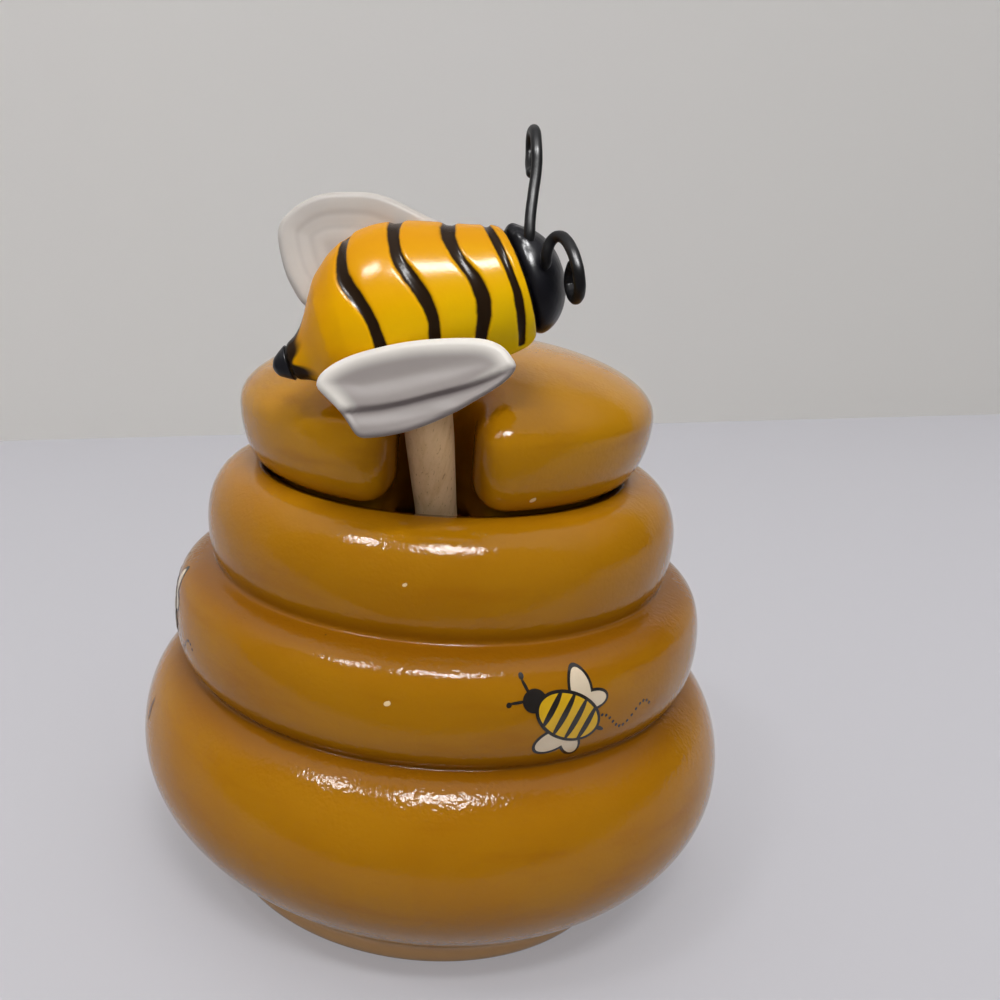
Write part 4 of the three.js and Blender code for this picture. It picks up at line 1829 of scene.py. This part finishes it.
# The studio


@dataclass
class Softbox:
    """An oval lamp that faces the jar."""

    name: str
    place: Triple
    size: Pair
    power: float
    glint: bool = False
    aim: Triple = (0.0, 0.0, 0.06)

    def build(self) -> None:
        """Add the lamp, which as a glint only shows where it is mirrored."""
        lamp = bpy.data.lights.new(self.name, "AREA")
        lamp.shape = "ELLIPSE"
        lamp.size, lamp.size_y = self.size
        lamp.energy = self.power
        holder = in_scene(self.name, lamp)
        holder.location = self.place
        holder.visible_diffuse = not self.glint
        holder.rotation_euler = (Vector(self.place) - Vector(self.aim)).to_track_quat("Z", "Y").to_euler()


@dataclass(frozen=True)
class BackdropFinish(Finish):
    """Matt paint that is seen, directly or in the glaze, a little paler than it lights the jar."""

    lit: float = 0.0

    def close(self, tree: NodeTree, color: object, roughness: object, height: object) -> bpy.types.Node:
        """Join the paint and add the paleness with which it is seen.

        Args:
            tree: The tree to build in.
            color: The colour's socket.
            roughness: The roughness's socket.
            height: The relief's socket.

        Returns:
            The Principled shader.
        """
        shader = super().close(tree, color, roughness, height)
        path = tree.add("ShaderNodeLightPath").outputs
        seen = tree.math("MAXIMUM", path["Is Camera Ray"], path["Is Glossy Ray"])
        tree.tree.links.new(color, shader.inputs["Emission Color"])
        tree.tree.links.new(tree.math("MULTIPLY", seen, self.lit), shader.inputs["Emission Strength"])
        return shader


@dataclass
class Studio:
    """The table, the wall behind it, a card that the glaze mirrors, the lamps and the camera."""

    table: Tone = Tone(152, 151, 155)
    table_lit: float = 0.7
    wall: Tone = Tone(222, 220, 217)
    wall_lit: float = 0.06
    card: Tone = Tone(170, 167, 163)
    table_half: float = 3.0
    wall_halves: Pair = (2.0, 0.5)
    wall_place: Triple = (0.0, 0.3948, 0.0)
    wall_turn: float = math.radians(21.0)
    card_halves: Pair = (0.5, 0.15)
    card_place: Triple = (0.0, -0.13, 0.15)
    camera_place: Triple = (4.92 * MM, -201.77 * MM, 139.17 * MM)
    camera_right: Triple = (0.9898, 0.1393, 0.0283)
    camera_up: Triple = (-0.0685, 0.2926, 0.9538)
    camera_ahead: Triple = (-0.1245, 0.946, -0.2991)
    lens: float = 37.0
    sensor: float = 36.0
    nearest: float = 0.01
    shift: float = 0.168
    dim: float = 0.06
    glow: float = 1.08
    glow_heart: Triple = (-0.05, -0.25, 0.96)
    glow_edge: Pair = (0.2, 0.95)
    room_tint: tuple[float, ...] = (1.0, 0.99, 0.985, 1.0)
    lamps: tuple[Softbox, ...] = (
        Softbox("left_key_lamp", (-0.6, -0.66, 1.32), (0.2, 0.12), 2.8),
        Softbox("right_key_lamp", (0.14, -0.77, 1.3), (0.56, 0.12), 7.2),
        Softbox("left_glint", (-0.62, -0.68, 1.3), (0.3, 0.34), 66.0, True),
        Softbox("right_glint", (0.16, -0.79, 1.28), (0.72, 0.34), 165.0, True),
    )

    def build_room(self) -> bpy.types.World:
        """Return the room's light: a wide soft glow overhead in a dim room.

        Returns:
            The scene's world.
        """
        world = bpy.data.worlds.new("room")
        world.use_nodes = True
        tree = NodeTree(world.node_tree)
        ends = {0: tree.add("ShaderNodeTexCoord").outputs["Generated"], 1: Vector(self.glow_heart).normalized()}
        facing = tree.add("ShaderNodeVectorMath", ends, operation="DOT_PRODUCT").outputs["Value"]
        strength = tree.span(facing, *self.glow_edge, self.dim, self.dim + self.glow)
        room = world.node_tree.nodes["Background"].inputs
        world.node_tree.links.new(strength, room["Strength"])
        room["Color"].default_value = self.room_tint
        return world

    def plain(self, name: str, tone: Tone, lit: float) -> Material:
        """Return a matt material with a slight unevenness.

        Args:
            name: The material's name.
            tone: Its colour.
            lit: How much paler it is seen.

        Returns:
            The material.
        """
        return BackdropFinish(
            name, tone, tone, tone, scale=6.0, roughness=0.6, relief=0.0001, speck_amount=0.0, specular=0.0, lit=lit
        ).build()

    def sheet(
        self, name: str, halves: Pair, place: Matrix, material: Material
    ) -> Object:
        """Add a flat sheet that isn't part of the object, and return it.

        Args:
            name: The sheet's name.
            halves: Half its width and height.
            place: Where it stands.
            material: Its finish.

        Returns:
            The sheet.
        """
        mesh = bmesh.new()
        bmesh.ops.create_grid(mesh, x_segments=2, y_segments=2, size=1.0)
        bmesh.ops.scale(mesh, vec=(*halves, 1.0), verts=mesh.verts)
        bmesh.ops.transform(mesh, matrix=place, verts=mesh.verts)
        sheet = finished(mesh, name, material)
        return sheet

    def build(self) -> None:
        """Set the camera, the table, the wall, the card and the lamps."""
        camera = bpy.data.cameras.new("photo_camera")
        camera.lens = self.lens
        camera.sensor_width = self.sensor
        camera.shift_x = self.shift
        camera.clip_start = self.nearest
        holder = in_scene("photo_camera", camera)
        turn = Matrix((self.camera_right, self.camera_up, tuple(-value for value in self.camera_ahead))).transposed()
        holder.matrix_world = Matrix.Translation(self.camera_place) @ turn.to_4x4()
        bpy.context.scene.camera = holder
        table = self.plain("table_white", self.table, self.table_lit)
        self.sheet("table", (self.table_half, self.table_half), Matrix(), table)
        stood_up = Matrix.Rotation(math.pi / 2, 4, "X")
        upright = Matrix.Translation(self.wall_place) @ Matrix.Rotation(self.wall_turn, 4, "Z") @ stood_up
        self.sheet("wall", self.wall_halves, upright, self.plain("wall_white", self.wall, self.wall_lit))
        before = Matrix.Translation(self.card_place) @ stood_up
        card = self.sheet("dark_card", self.card_halves, before, self.plain("card_black", self.card, 0.0))
        card.visible_camera = card.visible_diffuse = card.visible_shadow = False
        bpy.context.scene.world = self.build_room()
        for lamp in self.lamps:
            lamp.build()
        bpy.context.scene.view_settings.view_transform = "Standard"


def main() -> None:
    """Build the jar, its lid, the dipper, the bee and the studio in order."""
    logging.basicConfig(level=logging.INFO, format="%(message)s")
    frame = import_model()
    finishes = FinishSet()
    pot = Pot()
    pot.build(finishes.glaze.material())
    lid = Lid()
    # the lid wears the lighter copy of the glaze, as painted light
    lid.build(frame["nodes"]["lid"], finishes.lid_glaze_painted_lighter.material())
    Dipper().build(finishes.wood.material())
    bee = Bee()
    bee.build(finishes.yellow.material(), finishes.black.material())
    for wing in WINGS:
        wing.build(bee, finishes.white.material())
    for antenna in ANTENNAE:
        antenna.build(bee, finishes.wire.material())
    build_marks(pot, lid, finishes)
    Studio().build()


if __name__ == "__main__":
    main()
